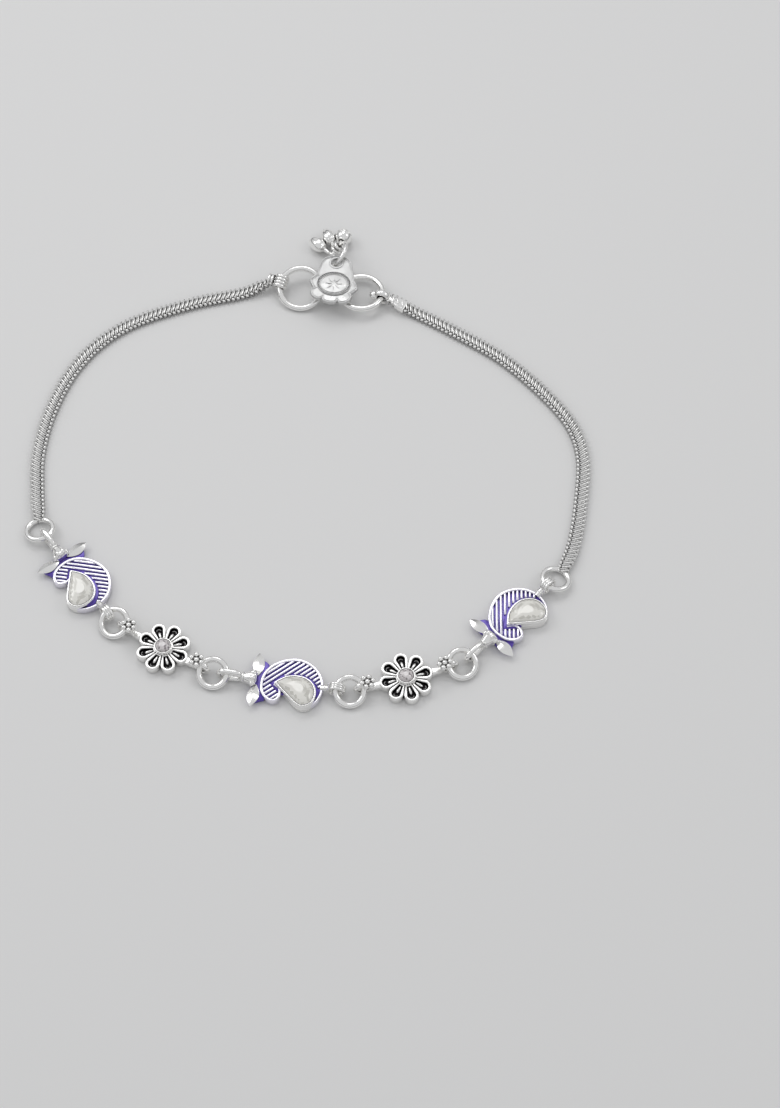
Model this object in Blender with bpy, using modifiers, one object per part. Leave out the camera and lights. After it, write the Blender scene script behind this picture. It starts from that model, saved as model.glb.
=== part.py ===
"""Silver anklet: a closed loop that lies on a flat surface.

The front is a string of three paisleys and two flowers joined by jump rings, the sides are two
flat plaited chains, and the back is a clasp of two rings under a scalloped tag, with a ring of
three small dangles. Lengths are in metres, the surface is Z = 0 and the wearer's heel is at +Y.
"""

import math

import bmesh
import bpy
from mathutils import Matrix, Vector

MM = 0.001

# Rings of the string
RING_DIAMETER = 5.4 * MM
RING_WIRE = 1.0 * MM
END_RING_DIAMETER = 5.2 * MM
END_RING_WIRE = 0.95 * MM
FLOOR_GAP = 0.02 * MM

# Upright eye loops that hold the rings
EYE_WIRE = 0.8 * MM
EYE_CLEARANCE = 0.2 * MM
EYE_TIP_TO_RING_CENTRE = 0.5 * MM

# Flowers
FLOWER_DIAMETER = 8.6 * MM
PETALS = 8
PETAL_TIP_RADIUS = 1.15 * MM
FLOWER_NOTCH_RADIUS = 3.05 * MM
FLOWER_FLOOR = 0.9 * MM
FLOWER_RIM_HEIGHT = 1.5 * MM
PETAL_WALL = 0.46 * MM
RECESS_INNER_RADIUS = 1.6 * MM
RECESS_INNER_WIDTH = 0.66 * MM
TONGUE_REACH = 3.05 * MM
TONGUE_WIDTH = 0.5 * MM
FLOWER_BEZEL_DIAMETER = 2.94 * MM
FLOWER_BEZEL_WALL = 0.25 * MM
FLOWER_BEZEL_HEIGHT = 2.1 * MM
FLOWER_TAB_LENGTH = 2.55 * MM
FLOWER_TAB_WIDTH = 1.0 * MM
FLOWER_TAB_BOTTOM = 0.35 * MM
FLOWER_TAB_TOP = 1.25 * MM
GRANULE_DIAMETER = 0.86 * MM
GRANULE_RING_RADIUS = 0.9 * MM
GRANULE_LIFT = 0.13 * MM
ROSETTE_SETBACK = 0.65 * MM
ROSETTE_DISC_DIAMETER = 2.0 * MM
ROSETTE_DISC_THICKNESS = 0.25 * MM

# Paisleys
PAISLEY_LENGTH = 9.95 * MM
PAISLEY_FLOOR = 0.9 * MM
PAISLEY_RIM_WIRE = 0.46 * MM
PAISLEY_RIM_HEIGHT = 1.4 * MM
PAISLEY_EDGE_LIFT = 0.2 * MM
RIB_WIDTH = 0.34 * MM
RIB_PITCH = 0.66 * MM
RIB_HEIGHT = 1.2 * MM
RIB_ANGLE = math.radians(44.0)
ENAMEL_STRIP = 0.42 * MM
DROP_BEZEL_WALL = 0.28 * MM
DROP_BEZEL_HEIGHT = 2.0 * MM
DROP_SEAT_HEIGHT = 1.0 * MM
LEAF_LENGTH = 3.9 * MM
LEAF_WIDTH = 1.6 * MM
LEAF_THICKNESS = 1.0 * MM
LEAF_LIFT = 1.05 * MM
LEAF_BASE_SPREAD = 0.85 * MM
LEAF_LEAN = math.radians(5.0)
SEPAL_THICKNESS = 0.85 * MM
CALYX_LENGTH = 2.2 * MM
CALYX_DIAMETER = 2.4 * MM
LEAF_STEP = 0.8 * MM
CALYX_TO_RING_WIRE = 2.35 * MM
POST_LENGTH = 1.85 * MM
POST_DIAMETER = 1.1 * MM

# Stones
STONE_CLEARANCE = 0.1 * MM
STONE_CROWN = 0.55 * MM
STONE_TABLE_SHARE = 0.58
STONE_GIRDLE_DROP = 0.12 * MM
STONE_CULET_SHARE = 0.25

# Flat plaited chains
CHAIN_WIDTH = 2.1 * MM
CHAIN_THICKNESS = 0.95 * MM
PLATE_PITCH = 0.95 * MM
PLATE_NOTCH = 0.17 * MM
PLATE_GROOVE = 0.12 * MM
PLATE_CHAMFER = 0.28 * MM
CHAIN_RISE = 6.0 * MM
CHAIN_LAP = 0.35 * MM
CHAIN_END_TAPER = 3.2 * MM
ROPE_END_WIDTH = 1.35 * MM
ROPE_END_THICKNESS = 1.15 * MM

# Clasp
CLASP_RING_DIAMETER = 8.2 * MM
CLASP_RING_WIRE = 1.05 * MM
CLASP_RING_SPACING = 10.3 * MM
RIGHT_CLASP_RING_TILT = math.radians(-5.0)
HOOK_WIRE = 0.8 * MM
TAG_WIDTH = 8.4 * MM
TAG_THICKNESS = 0.6 * MM
TAG_SHIFT = 0.5 * MM
TAG_NOTCH_RADIUS = 3.55 * MM
TAG_TOP_REACH = 5.95 * MM
TAG_LOBE_TURN = math.radians(-8.0)
TAG_BOTTOM_REACH = 3.95 * MM
TAG_CORNER_REACH = 4.35 * MM
TAG_FIELD_WIDTH = 5.8 * MM
TAG_FIELD_DEPTH = 4.8 * MM
TAG_FIELD_RAISE = 0.25 * MM
TAG_HOLE_DIAMETER = 1.8 * MM
TAG_HOLE_WALL = 0.65 * MM
TAG_SINK = 0.2 * MM

# Ends of the chains at the clasp
KNOT_WIRE = 0.66 * MM
KNOT_TURNS = 3
KNOT_LAP = 0.14 * MM
KNOT_CLEARANCE = 0.13 * MM
NECK_WIRE = 0.84 * MM
NECK_BEAD_DIAMETER = 1.5 * MM

# Dangles
DANGLE_RING_DIAMETER = 5.2 * MM
DANGLE_RING_WIRE = 0.72 * MM
DANGLE_RING_PITCH = math.radians(10.0)
DANGLE_RING_ROLL = math.radians(-35.0)
DANGLE_EYE_WIRE = 0.5 * MM
DANGLE_EYE_CLEARANCE = 0.16 * MM
DANGLE_NECK_DIAMETER = 0.7 * MM
BUD_NECK_LENGTH = 1.0 * MM
BUD_LENGTH = 3.3 * MM
BUD_DIAMETER = 2.4 * MM
BALL_NECK_LENGTH = 0.55 * MM
BALL_DIAMETER = 2.9 * MM

# Where each dangle hangs on its ring and which way it lies: degrees from the outer end, from the heel
DANGLE_PLACES = (
    ("dangle_bud_1", -55.0, 54.0),
    ("dangle_bud_2", -25.0, 29.0),
    ("dangle_ball", 0.0, -10.5),
)

# Layout seen from above: the centre paisley is at the layout's origin
STRING_HEADINGS = (-53.0, -29.5, -8.5, 15.5, 45.5)
LEFT_CHAIN_START_HEADING = math.radians(98.0)
RIGHT_CHAIN_START_HEADING = math.radians(53.0)
CLASP_ASIDE = 6.9 * MM
CLASP_DEPTH = 74.35 * MM
CLASP_HEADING = math.radians(-5.2)
LEFT_KNOT_DIRECTION = math.radians(162.0)
RIGHT_NECK_DIRECTION = math.radians(-14.6)

# Chain routes: shares along and across the straight line from end ring to clasp ring
LEFT_CHAIN_ROUTE = (
    (0.085, 0.095),
    (0.163, 0.168),
    (0.268, 0.233),
    (0.392, 0.280),
    (0.510, 0.293),
    (0.630, 0.269),
    (0.775, 0.195),
    (0.880, 0.122),
)
RIGHT_CHAIN_ROUTE = (
    (0.066, -0.094),
    (0.155, -0.168),
    (0.270, -0.246),
    (0.370, -0.275),
    (0.490, -0.265),
    (0.639, -0.226),
    (0.775, -0.160),
    (0.875, -0.103),
)

# Paisley outlines: shares of its length, along from the calyx side and across to the left
PAISLEY_RIM = (
    (0.784, -0.385),
    (0.930, -0.250),
    (0.992, -0.020),
    (0.935, 0.195),
    (0.783, 0.360),
    (0.560, 0.446),
    (0.325, 0.405),
    (0.115, 0.265),
    (0.006, 0.060),
    (0.020, -0.170),
    (0.118, -0.312),
    (0.255, -0.352),
    (0.342, -0.260),
    (0.336, -0.115),
    (0.221, -0.031),
)
PAISLEY_INSIDE = (
    (0.450, -0.120),
    (0.640, -0.250),
)
DROP_OUTLINE = (
    (0.215, -0.040),
    (0.433, -0.232),
    (0.620, -0.378),
    (0.744, -0.397),
    (0.850, -0.330),
    (0.895, -0.190),
    (0.875, -0.050),
    (0.790, 0.060),
    (0.660, 0.122),
    (0.500, 0.126),
    (0.355, 0.074),
)
SEPAL_OUTLINE = (
    (-0.110, 0.060),
    (-0.135, 0.220),
    (-0.100, 0.370),
    (-0.010, 0.360),
    (0.100, 0.270),
    (0.120, 0.000),
    (0.110, -0.280),
    (0.050, -0.330),
    (-0.060, -0.380),
    (-0.130, -0.220),
)

# Broad top of the tag: shares of its top reach, across and up
TAG_SHIELD = (
    (0.52, 0.42),
    (0.45, 0.72),
    (0.36, 0.88),
    (0.20, 0.97),
    (0.0, 1.0),
    (-0.20, 0.97),
    (-0.36, 0.88),
    (-0.45, 0.72),
    (-0.52, 0.42),
)

# Turned profiles from top to bottom: shares of the half diameter and of the length
CALYX_PROFILE = (
    (0.0, 1.1),
    (0.85, 1.1),
    (1.0, 0.9),
    (0.8, 0.5),
    (0.46, 0.0),
    (0.0, 0.0),
)
BUD_PROFILE = (
    (0.0, 1.0),
    (0.45, 0.97),
    (0.85, 0.72),
    (1.0, 0.45),
    (0.72, 0.16),
    (0.35, 0.0),
    (0.0, 0.0),
)

# Mesh fineness
RING_SEGMENTS = 14
CLASP_RING_SEGMENTS = 18
WIRE_SIDES = 6
EYE_SEGMENTS = 10
OUTLINE_STEPS = 2
TURN_STEPS = 12
GRANULE_SEGMENTS = 6
GRANULE_RINGS = 4

PALETTE = {
    "silver": ((0.82, 0.82, 0.80), 0.28, 1.0),
    "oxidised_silver": ((0.60, 0.60, 0.60), 0.35, 1.0),
    "purple_enamelled_silver": ((0.42, 0.36, 0.62), 0.30, 0.6),
    "clear_stone": ((0.90, 0.89, 0.86), 0.05, 0.0),
}


def ring_radius(diameter, wire):
    """Radius of a ring's wire centre."""
    return (diameter - wire) / 2


def rest_tilt(level, wire, radius, bend=0.0):
    """Tilt at which a ring held at a level touches the surface with its near side."""
    return math.asin((level - wire / 2 - FLOOR_GAP) / (radius * (1 + math.sin(bend))))


JUMP_RADIUS = ring_radius(RING_DIAMETER, RING_WIRE)
END_RADIUS = ring_radius(END_RING_DIAMETER, END_RING_WIRE)
CLASP_RADIUS = ring_radius(CLASP_RING_DIAMETER, CLASP_RING_WIRE)
DANGLE_RADIUS = ring_radius(DANGLE_RING_DIAMETER, DANGLE_RING_WIRE)
EYE_RADIUS = max(RING_WIRE, END_RING_WIRE) / 2 + EYE_CLEARANCE + EYE_WIRE / 2
STRING_LEVEL = EYE_RADIUS + EYE_WIRE / 2
HOOK_RADIUS = CLASP_RING_WIRE / 2 + EYE_CLEARANCE + HOOK_WIRE / 2
CLASP_LEVEL = HOOK_RADIUS + HOOK_WIRE / 2
CHAIN_LEVEL = CHAIN_THICKNESS / 2
KNOT_PITCH = KNOT_WIRE - KNOT_LAP
TAG_HOLE_REACH = TAG_TOP_REACH - TAG_HOLE_WALL - TAG_HOLE_DIAMETER / 2

FLOWER_EYE = FLOWER_DIAMETER / 2 + FLOWER_TAB_LENGTH
PAISLEY_BACK = LEAF_STEP + CALYX_LENGTH + CALYX_TO_RING_WIRE
PAISLEY_AHEAD = PAISLEY_LENGTH + POST_LENGTH
PAISLEY_MIDDLE = (PAISLEY_AHEAD - PAISLEY_BACK) / 2


def material(name):
    """The named material of the palette, made once."""
    found = bpy.data.materials.get(name)
    if found is not None:
        return found
    colour, roughness, metallic = PALETTE[name]
    made = bpy.data.materials.new(name)
    made.use_nodes = True
    shader = made.node_tree.nodes["Principled BSDF"]
    shader.inputs["Base Color"].default_value = (*colour, 1.0)
    shader.inputs["Roughness"].default_value = roughness
    shader.inputs["Metallic"].default_value = metallic
    made.diffuse_color = (*colour, 1.0)
    return made


def start_scene():
    """Empty the scene and make the anklet's collection and its parent empty."""
    for old in list(bpy.data.objects):
        bpy.data.objects.remove(old, do_unlink=True)
    collection = bpy.data.collections.new("anklet")
    bpy.context.scene.collection.children.link(collection)
    parent = bpy.data.objects.new("anklet_frame", None)
    collection.objects.link(parent)
    return collection, parent


COLLECTION, PARENT = start_scene()


def take_active():
    """The primitive just added, moved into the anklet's collection."""
    made = bpy.context.active_object
    for holder in list(made.users_collection):
        holder.objects.unlink(made)
    COLLECTION.objects.link(made)
    return made


def place(piece, matrix):
    """Move a piece by a matrix and write the place into its mesh."""
    piece.data.transform(matrix @ piece.matrix_basis)
    piece.matrix_basis = Matrix.Identity(4)
    return piece


def mesh_of(piece, weld=False):
    """Turn a curve or a modified object into a mesh object, its loose caps welded if asked."""
    bpy.context.view_layer.update()
    graph = bpy.context.evaluated_depsgraph_get()
    mesh = bpy.data.meshes.new_from_object(piece.evaluated_get(graph))
    if weld:
        work = bmesh.new()
        work.from_mesh(mesh)
        bmesh.ops.remove_doubles(work, verts=work.verts, dist=1e-7)
        bmesh.ops.recalc_face_normals(work, faces=work.faces)
        work.to_mesh(mesh)
        work.free()
    made = bpy.data.objects.new(piece.name, mesh)
    COLLECTION.objects.link(made)
    made.matrix_basis = piece.matrix_world.copy()
    bpy.data.objects.remove(piece, do_unlink=True)
    return place(made, Matrix.Identity(4))


def torus(radius, wire, segments, sides=WIRE_SIDES):
    """A ring of round wire in the XY plane."""
    bpy.ops.mesh.primitive_torus_add(
        major_radius=radius,
        minor_radius=wire / 2,
        major_segments=segments,
        minor_segments=sides,
    )
    return take_active()


def ball(diameter, segments, rings):
    """A ball round the origin."""
    bpy.ops.mesh.primitive_uv_sphere_add(radius=diameter / 2, segments=segments, ring_count=rings)
    return take_active()


def rod(diameter, start, end, sides):
    """A round rod between two points."""
    run = Vector(end) - Vector(start)
    bpy.ops.mesh.primitive_cylinder_add(radius=diameter / 2, depth=run.length, vertices=sides)
    turn = run.to_track_quat("Z", "Y").to_matrix().to_4x4()
    return place(take_active(), Matrix.Translation((Vector(start) + Vector(end)) / 2) @ turn)


def block(low, high):
    """A box between two corners."""
    size = [high[axis] - low[axis] for axis in range(3)]
    middle = [(high[axis] + low[axis]) / 2 for axis in range(3)]
    bpy.ops.mesh.primitive_cube_add(size=1.0)
    return place(take_active(), Matrix.Translation(middle) @ Matrix.Diagonal((*size, 1.0)))


def flat_plate(outlines, bottom, top):
    """A plate between two heights; outlines inside another one are cut through it."""
    curve = bpy.data.curves.new("plate", "CURVE")
    curve.dimensions = "2D"
    curve.fill_mode = "BOTH"
    curve.extrude = (top - bottom) / 2
    for outline in outlines:
        spline = curve.splines.new("POLY")
        spline.points.add(len(outline) - 1)
        for point, (x, y) in zip(spline.points, outline):
            point.co = (x, y, 0.0, 1.0)
        spline.use_cyclic_u = True
    plate = bpy.data.objects.new("plate", curve)
    plate.location.z = (top + bottom) / 2
    COLLECTION.objects.link(plate)
    return mesh_of(plate, weld=True)


def turned(profile, steps):
    """A shape turned round Z from a profile of (radius, height), written top to bottom."""
    mesh = bpy.data.meshes.new("turned")
    points = [(radius, 0.0, height) for radius, height in profile]
    mesh.from_pydata(points, [(at, at + 1) for at in range(len(points) - 1)], [])
    piece = bpy.data.objects.new("turned", mesh)
    COLLECTION.objects.link(piece)
    screw = piece.modifiers.new("turn", "SCREW")
    screw.steps = steps
    screw.render_steps = steps
    screw.use_merge_vertices = True
    screw.merge_threshold = 1e-6
    return mesh_of(piece, weld=True)


def fuse(name, pieces):
    """Solder the pieces into one solid."""
    tools = bpy.data.collections.new("solder")
    bpy.context.scene.collection.children.link(tools)
    for tool in pieces[1:]:
        COLLECTION.objects.unlink(tool)
        tools.objects.link(tool)
    union = pieces[0].modifiers.new("solder", "BOOLEAN")
    union.operation = "UNION"
    union.solver = "EXACT"
    union.operand_type = "COLLECTION"
    union.collection = tools
    soldered = mesh_of(pieces[0])
    for tool in pieces[1:]:
        bpy.data.objects.remove(tool, do_unlink=True)
    bpy.data.collections.remove(tools)
    soldered.name = name
    return soldered


def cut(piece, cutter):
    """Cut one solid out of another."""
    hole = piece.modifiers.new("cut", "BOOLEAN")
    hole.operation = "DIFFERENCE"
    hole.solver = "EXACT"
    hole.object = cutter
    left = mesh_of(piece)
    bpy.data.objects.remove(cutter, do_unlink=True)
    return left


def finish(piece, name, slot, location=(0.0, 0.0, 0.0), heading=0.0):
    """Name, dress, place and parent a finished piece."""
    piece.name = name
    piece.data.name = name
    piece.data.materials.clear()
    piece.data.materials.append(material(slot))
    piece.data.shade_smooth()
    piece.data.set_sharp_from_angle(angle=math.radians(35.0))
    piece.location = location
    piece.rotation_euler = (0.0, 0.0, heading)
    piece.parent = PARENT
    return piece


def copies(template, names, slot, places):
    """Place one finished shape under each name; all share its mesh."""
    for name, (location, heading) in zip(names, places):
        twin = bpy.data.objects.new(name, template.data)
        COLLECTION.objects.link(twin)
        finish(twin, name, slot, location, heading)
    bpy.data.objects.remove(template, do_unlink=True)


def on_circle(radius, angle):
    """A point of a circle round the origin."""
    return radius * math.cos(angle), radius * math.sin(angle)


def smooth_line(points, steps, closed, corners=()):
    """Points of a smooth line through the given ones, sharp at the numbered corners."""
    count = len(points)
    vectors = [Vector((*point, 0.0)) for point in points]
    spans = count if closed else count - 1
    line = []
    for start in range(spans):
        end = (start + 1) % count
        before = start if start in corners else (start - 1) % count
        after = end if end in corners else (end + 1) % count
        if not closed and start == 0:
            before = 0
        if not closed and end == count - 1:
            after = end
        leave = (vectors[end] - vectors[before]) / 2
        arrive = (vectors[after] - vectors[start]) / 2
        for step in range(steps):
            share = step / steps
            line.append(hermite(vectors[start], leave, vectors[end], arrive, share))
    if not closed:
        line.append(vectors[-1])
    return [(point.x, point.y) for point in line]


def hermite(start, leave, end, arrive, share):
    """A point of the cubic between two points with given tangents."""
    square = share * share
    cube = square * share
    return (
        start * (2 * cube - 3 * square + 1)
        + leave * (cube - 2 * square + share)
        + end * (3 * square - 2 * cube)
        + arrive * (cube - square)
    )


def offset(outline, distance, closed=True):
    """Move an anticlockwise line outwards by a distance, with its corners mitred."""
    moved = []
    count = len(outline)
    for at, point in enumerate(outline):
        here = Vector(point)
        before = Vector(outline[at - 1])
        after = Vector(outline[(at + 1) % count])
        if not closed and at == 0:
            before = 2 * here - after
        if not closed and at == count - 1:
            after = 2 * here - before
        into = (here - before).normalized()
        out_of = (after - here).normalized()
        normal_in = Vector((into.y, -into.x))
        normal_out = Vector((out_of.y, -out_of.x))
        middle = (normal_in + normal_out).normalized()
        stretch = 1 / max(0.5, middle.dot(normal_in))
        moved.append(tuple(here + middle * distance * stretch))
    return moved


def inside(outline, point):
    """Whether a point lies inside a closed outline."""
    x, y = point
    within = False
    for at, (x1, y1) in enumerate(outline):
        x0, y0 = outline[at - 1]
        if (y0 > y) != (y1 > y) and x < x0 + (y - y0) * (x1 - x0) / (y1 - y0):
            within = not within
    return within


def eye_loop(wire_point, level, radius, wire, ring_reach, body_reach, segments=EYE_SEGMENTS):
    """An upright oval loop round a ring's wire, drawn out towards the ring and the body.

    The reaches run along +X and -X from the ring's wire to the loop's outside.
    """
    loop = torus(radius, wire, segments)
    loop = place(loop, Matrix.Rotation(math.pi / 2, 4, "X"))
    outer = radius + wire / 2
    for vertex in loop.data.vertices:
        if vertex.co.x > wire / 10:
            vertex.co.x += ring_reach - outer
        elif vertex.co.x < -wire / 10:
            vertex.co.x -= body_reach - outer
    return place(loop, Matrix.Translation((wire_point, 0.0, level)))


def string_eye(wire_point, body_reach):
    """The eye loop of a piece of the string."""
    ring_reach = JUMP_RADIUS - EYE_TIP_TO_RING_CENTRE
    return eye_loop(wire_point, STRING_LEVEL, EYE_RADIUS, EYE_WIRE, ring_reach, body_reach)


def mirrored(piece):
    """Turn a piece half round Z."""
    return place(piece, Matrix.Rotation(math.pi, 4, "Z"))


def faceted_stone(outline, seat, girdle, crown):
    """A cut stone: table, crown facets, girdle and pavilion over a closed outline."""
    count = len(outline)
    middle_x = sum(point[0] for point in outline) / count
    middle_y = sum(point[1] for point in outline) / count

    def ring_at(share, height):
        rows = []
        for x, y in outline:
            across = middle_x + (x - middle_x) * share
            along = middle_y + (y - middle_y) * share
            rows.append(work.verts.new((across, along, height)))
        return rows

    work = bmesh.new()
    rings = (
        ring_at(STONE_CULET_SHARE, seat),
        ring_at(1.0, girdle - STONE_GIRDLE_DROP),
        ring_at(1.0, girdle),
        ring_at(STONE_TABLE_SHARE, girdle + crown),
    )
    for lower, upper in zip(rings, rings[1:]):
        for at in range(count):
            beside = (at + 1) % count
            work.faces.new((lower[at], lower[beside], upper[beside], upper[at]))
    work.faces.new(list(reversed(rings[0])))
    work.faces.new(rings[-1])
    mesh = bpy.data.meshes.new("stone")
    work.to_mesh(mesh)
    work.free()
    stone = bpy.data.objects.new("stone", mesh)
    COLLECTION.objects.link(stone)
    return stone


def flower_outline():
    """The scalloped edge of a flower: a round tip on each petal and a notch between petals."""
    outline = []
    tip_centre = FLOWER_DIAMETER / 2 - PETAL_TIP_RADIUS
    for petal in range(PETALS):
        axis = 2 * math.pi * petal / PETALS
        for turn in (-72.0, -36.0, 0.0, 36.0, 72.0):
            x, y = on_circle(PETAL_TIP_RADIUS, axis + math.radians(turn))
            centre_x, centre_y = on_circle(tip_centre, axis)
            outline.append((centre_x + x, centre_y + y))
        outline.append(on_circle(FLOWER_NOTCH_RADIUS, axis + math.pi / PETALS))
    return outline


def petal_recess(petal):
    """The sunk field of one petal, narrow at the stone and round at the tip."""
    axis = 2 * math.pi * petal / PETALS
    tip_centre = FLOWER_DIAMETER / 2 - PETAL_TIP_RADIUS
    round_end = PETAL_TIP_RADIUS - PETAL_WALL
    local = [(RECESS_INNER_RADIUS, -RECESS_INNER_WIDTH / 2)]
    for turn in (-75.0, -25.0, 25.0, 75.0):
        x, y = on_circle(round_end, math.radians(turn))
        local.append((tip_centre + x, y))
    local.append((RECESS_INNER_RADIUS, RECESS_INNER_WIDTH / 2))
    return [turn_point(point, axis) for point in local]


def petal_tongue(petal):
    """The raised tongue in one petal, drop shaped and pointed at the stone."""
    axis = 2 * math.pi * petal / PETALS
    root = FLOWER_BEZEL_DIAMETER / 2 - FLOWER_BEZEL_WALL / 2
    shoulder = TONGUE_REACH - TONGUE_WIDTH * 0.4
    local = (
        (root, -TONGUE_WIDTH / 4),
        (shoulder, -TONGUE_WIDTH / 2),
        (TONGUE_REACH, 0.0),
        (shoulder, TONGUE_WIDTH / 2),
        (root, TONGUE_WIDTH / 4),
    )
    return [turn_point(point, axis) for point in local]


def turn_point(point, angle):
    """A point turned round the origin."""
    x, y = point
    return (
        x * math.cos(angle) - y * math.sin(angle),
        x * math.sin(angle) + y * math.cos(angle),
    )


def circle_outline(radius, count):
    """A closed round outline, anticlockwise."""
    return [on_circle(radius, 2 * math.pi * at / count) for at in range(count)]


def rosette(centre):
    """Seven granules on a small disc, six of them round the middle one."""
    disc_top = STRING_LEVEL + EYE_RADIUS + EYE_WIRE / 2
    disc_bottom = disc_top - ROSETTE_DISC_THICKNESS
    x, y = centre
    disc = rod(ROSETTE_DISC_DIAMETER, (x, y, disc_bottom), (x, y, disc_top), GRANULE_SEGMENTS)
    spots = [(x, y)]
    for at in range(6):
        along, across = on_circle(GRANULE_RING_RADIUS, math.pi * at / 3)
        spots.append((x + along, y + across))
    grains = []
    for spot in spots:
        grain = ball(GRANULE_DIAMETER, GRANULE_SEGMENTS, GRANULE_RINGS)
        grains.append(place(grain, Matrix.Translation((*spot, disc_top + GRANULE_LIFT))))
    return [disc, *grains]


def build_flower():
    """One flower casting with its bezel, tabs, eyes and granules."""
    outline = flower_outline()
    recesses = [petal_recess(petal) for petal in range(PETALS)]
    body = flat_plate([outline], 0.0, FLOWER_RIM_HEIGHT)
    bezel_radius = FLOWER_BEZEL_DIAMETER / 2
    pit = circle_outline(bezel_radius - FLOWER_BEZEL_WALL / 2, RING_SEGMENTS)
    body = cut(body, flat_plate([*recesses, pit], FLOWER_FLOOR, FLOWER_RIM_HEIGHT * 1.5))
    tongue_bottom = FLOWER_FLOOR / 2
    tongue_top = FLOWER_RIM_HEIGHT - FLOOR_GAP
    bezel_outlines = [
        circle_outline(bezel_radius, RING_SEGMENTS),
        circle_outline(bezel_radius - FLOWER_BEZEL_WALL, RING_SEGMENTS),
    ]
    bezel = flat_plate(bezel_outlines, tongue_bottom, FLOWER_BEZEL_HEIGHT)
    pieces = [body, bezel]
    for petal in range(PETALS):
        pieces.append(flat_plate([petal_tongue(petal)], tongue_bottom, tongue_top))
    body_reach = EYE_RADIUS + EYE_WIRE / 2
    tab_start = FLOWER_DIAMETER / 2 - PETAL_WALL
    tab_end = FLOWER_EYE - body_reach + EYE_WIRE * 0.6
    for side in (1, -1):
        eye = string_eye(FLOWER_EYE, body_reach)
        half = FLOWER_TAB_WIDTH / 2
        tab = block((tab_start, -half, FLOWER_TAB_BOTTOM), (tab_end, half, FLOWER_TAB_TOP))
        grains = rosette((FLOWER_EYE - ROSETTE_SETBACK, 0.0))
        for piece in (tab, eye, *grains):
            pieces.append(piece if side > 0 else mirrored(piece))
    return fuse("flower", pieces)


def build_flower_stone():
    """The round stone of a flower."""
    radius = FLOWER_BEZEL_DIAMETER / 2 - FLOWER_BEZEL_WALL - STONE_CLEARANCE
    outline = circle_outline(radius, TURN_STEPS)
    seat = FLOWER_FLOOR + STONE_CLEARANCE
    return faceted_stone(outline, seat, FLOWER_BEZEL_HEIGHT, STONE_CROWN)


def paisley_points(shares):
    """Points of the paisley from shares of its length, in the piece's own frame."""
    start = -PAISLEY_MIDDLE
    return [(start + along * PAISLEY_LENGTH, across * PAISLEY_LENGTH) for along, across in shares]


def drop_outline(distance=0.0):
    """The outline of the drop setting, moved outwards by a distance."""
    return offset(smooth_line(paisley_points(DROP_OUTLINE), OUTLINE_STEPS, True, (0,)), distance)


def rim_line(distance=0.0):
    """The open line of the paisley's rim, moved outwards by a distance."""
    line = smooth_line(paisley_points(PAISLEY_RIM), OUTLINE_STEPS, False)
    return offset(line, distance, closed=False)


def paisley_outline(distance=0.0):
    """The closed outline of the paisley's plate, closed again under the drop setting."""
    return rim_line(distance) + paisley_points(PAISLEY_INSIDE)


def rib_spans():
    """Ends of the slanting ribs between the rim and the enamel strip round the drop."""
    field = paisley_outline(-PAISLEY_RIM_WIRE - FLOOR_GAP)
    kept_clear = drop_outline(ENAMEL_STRIP)
    along = Vector(on_circle(1.0, RIB_ANGLE))
    across = Vector((-along.y, along.x))
    half = PAISLEY_LENGTH
    count = int(half / RIB_PITCH)
    step = RIB_WIDTH / 4
    spans = []
    for rib in range(-count, count + 1):
        middle = across * rib * RIB_PITCH
        opened = None
        position = -half
        while position < half:
            point = tuple(middle + along * position)
            solid = inside(field, point) and not inside(kept_clear, point)
            if solid and opened is None:
                opened = position
            if not solid and opened is not None:
                if position - opened > RIB_WIDTH * 2:
                    spans.append((middle + along * opened, middle + along * (position - step)))
                opened = None
            position += step
    return spans


def rib(start, end):
    """One raised rib between two points of the field."""
    run = end - start
    middle = (start + end) / 2
    bottom = PAISLEY_FLOOR / 2
    size = (run.length, RIB_WIDTH, RIB_HEIGHT - bottom)
    low = tuple(-value / 2 for value in size)
    high = tuple(value / 2 for value in size)
    turn = Matrix.Rotation(math.atan2(run.y, run.x), 4, "Z")
    raise_by = (RIB_HEIGHT + bottom) / 2
    return place(block(low, high), Matrix.Translation((middle.x, middle.y, raise_by)) @ turn)


def leaf(side):
    """One almond leaf with a ridge, at the calyx end; side is 1 for left, -1 for right."""
    bpy.ops.mesh.primitive_uv_sphere_add(radius=0.5, segments=4, ring_count=6)
    almond = take_active()
    almond = place(almond, Matrix.Rotation(-math.pi / 2, 4, "X"))
    almond = place(almond, Matrix.Diagonal((LEAF_WIDTH, LEAF_LENGTH, LEAF_THICKNESS, 1.0)))
    root_x = -PAISLEY_MIDDLE - LEAF_STEP
    turn = Matrix.Rotation(side * LEAF_LEAN, 4, "Z")
    middle = Vector((0.0, side * LEAF_LENGTH / 2, 0.0))
    middle.rotate(turn.to_3x3())
    seat = Vector((root_x, side * LEAF_BASE_SPREAD, LEAF_LIFT))
    return place(almond, Matrix.Translation(seat + middle) @ turn)


def calyx():
    """The bell between the eye and the leaves, turned round the string's line."""
    mouth = CALYX_DIAMETER / 2
    profile = [(mouth * out, CALYX_LENGTH * along) for out, along in CALYX_PROFILE]
    bell = turned(profile, TURN_STEPS)
    bell = place(bell, Matrix.Rotation(math.pi / 2, 4, "Y"))
    start = -PAISLEY_MIDDLE - LEAF_STEP - CALYX_LENGTH
    return place(bell, Matrix.Translation((start, 0.0, STRING_LEVEL)))


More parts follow.
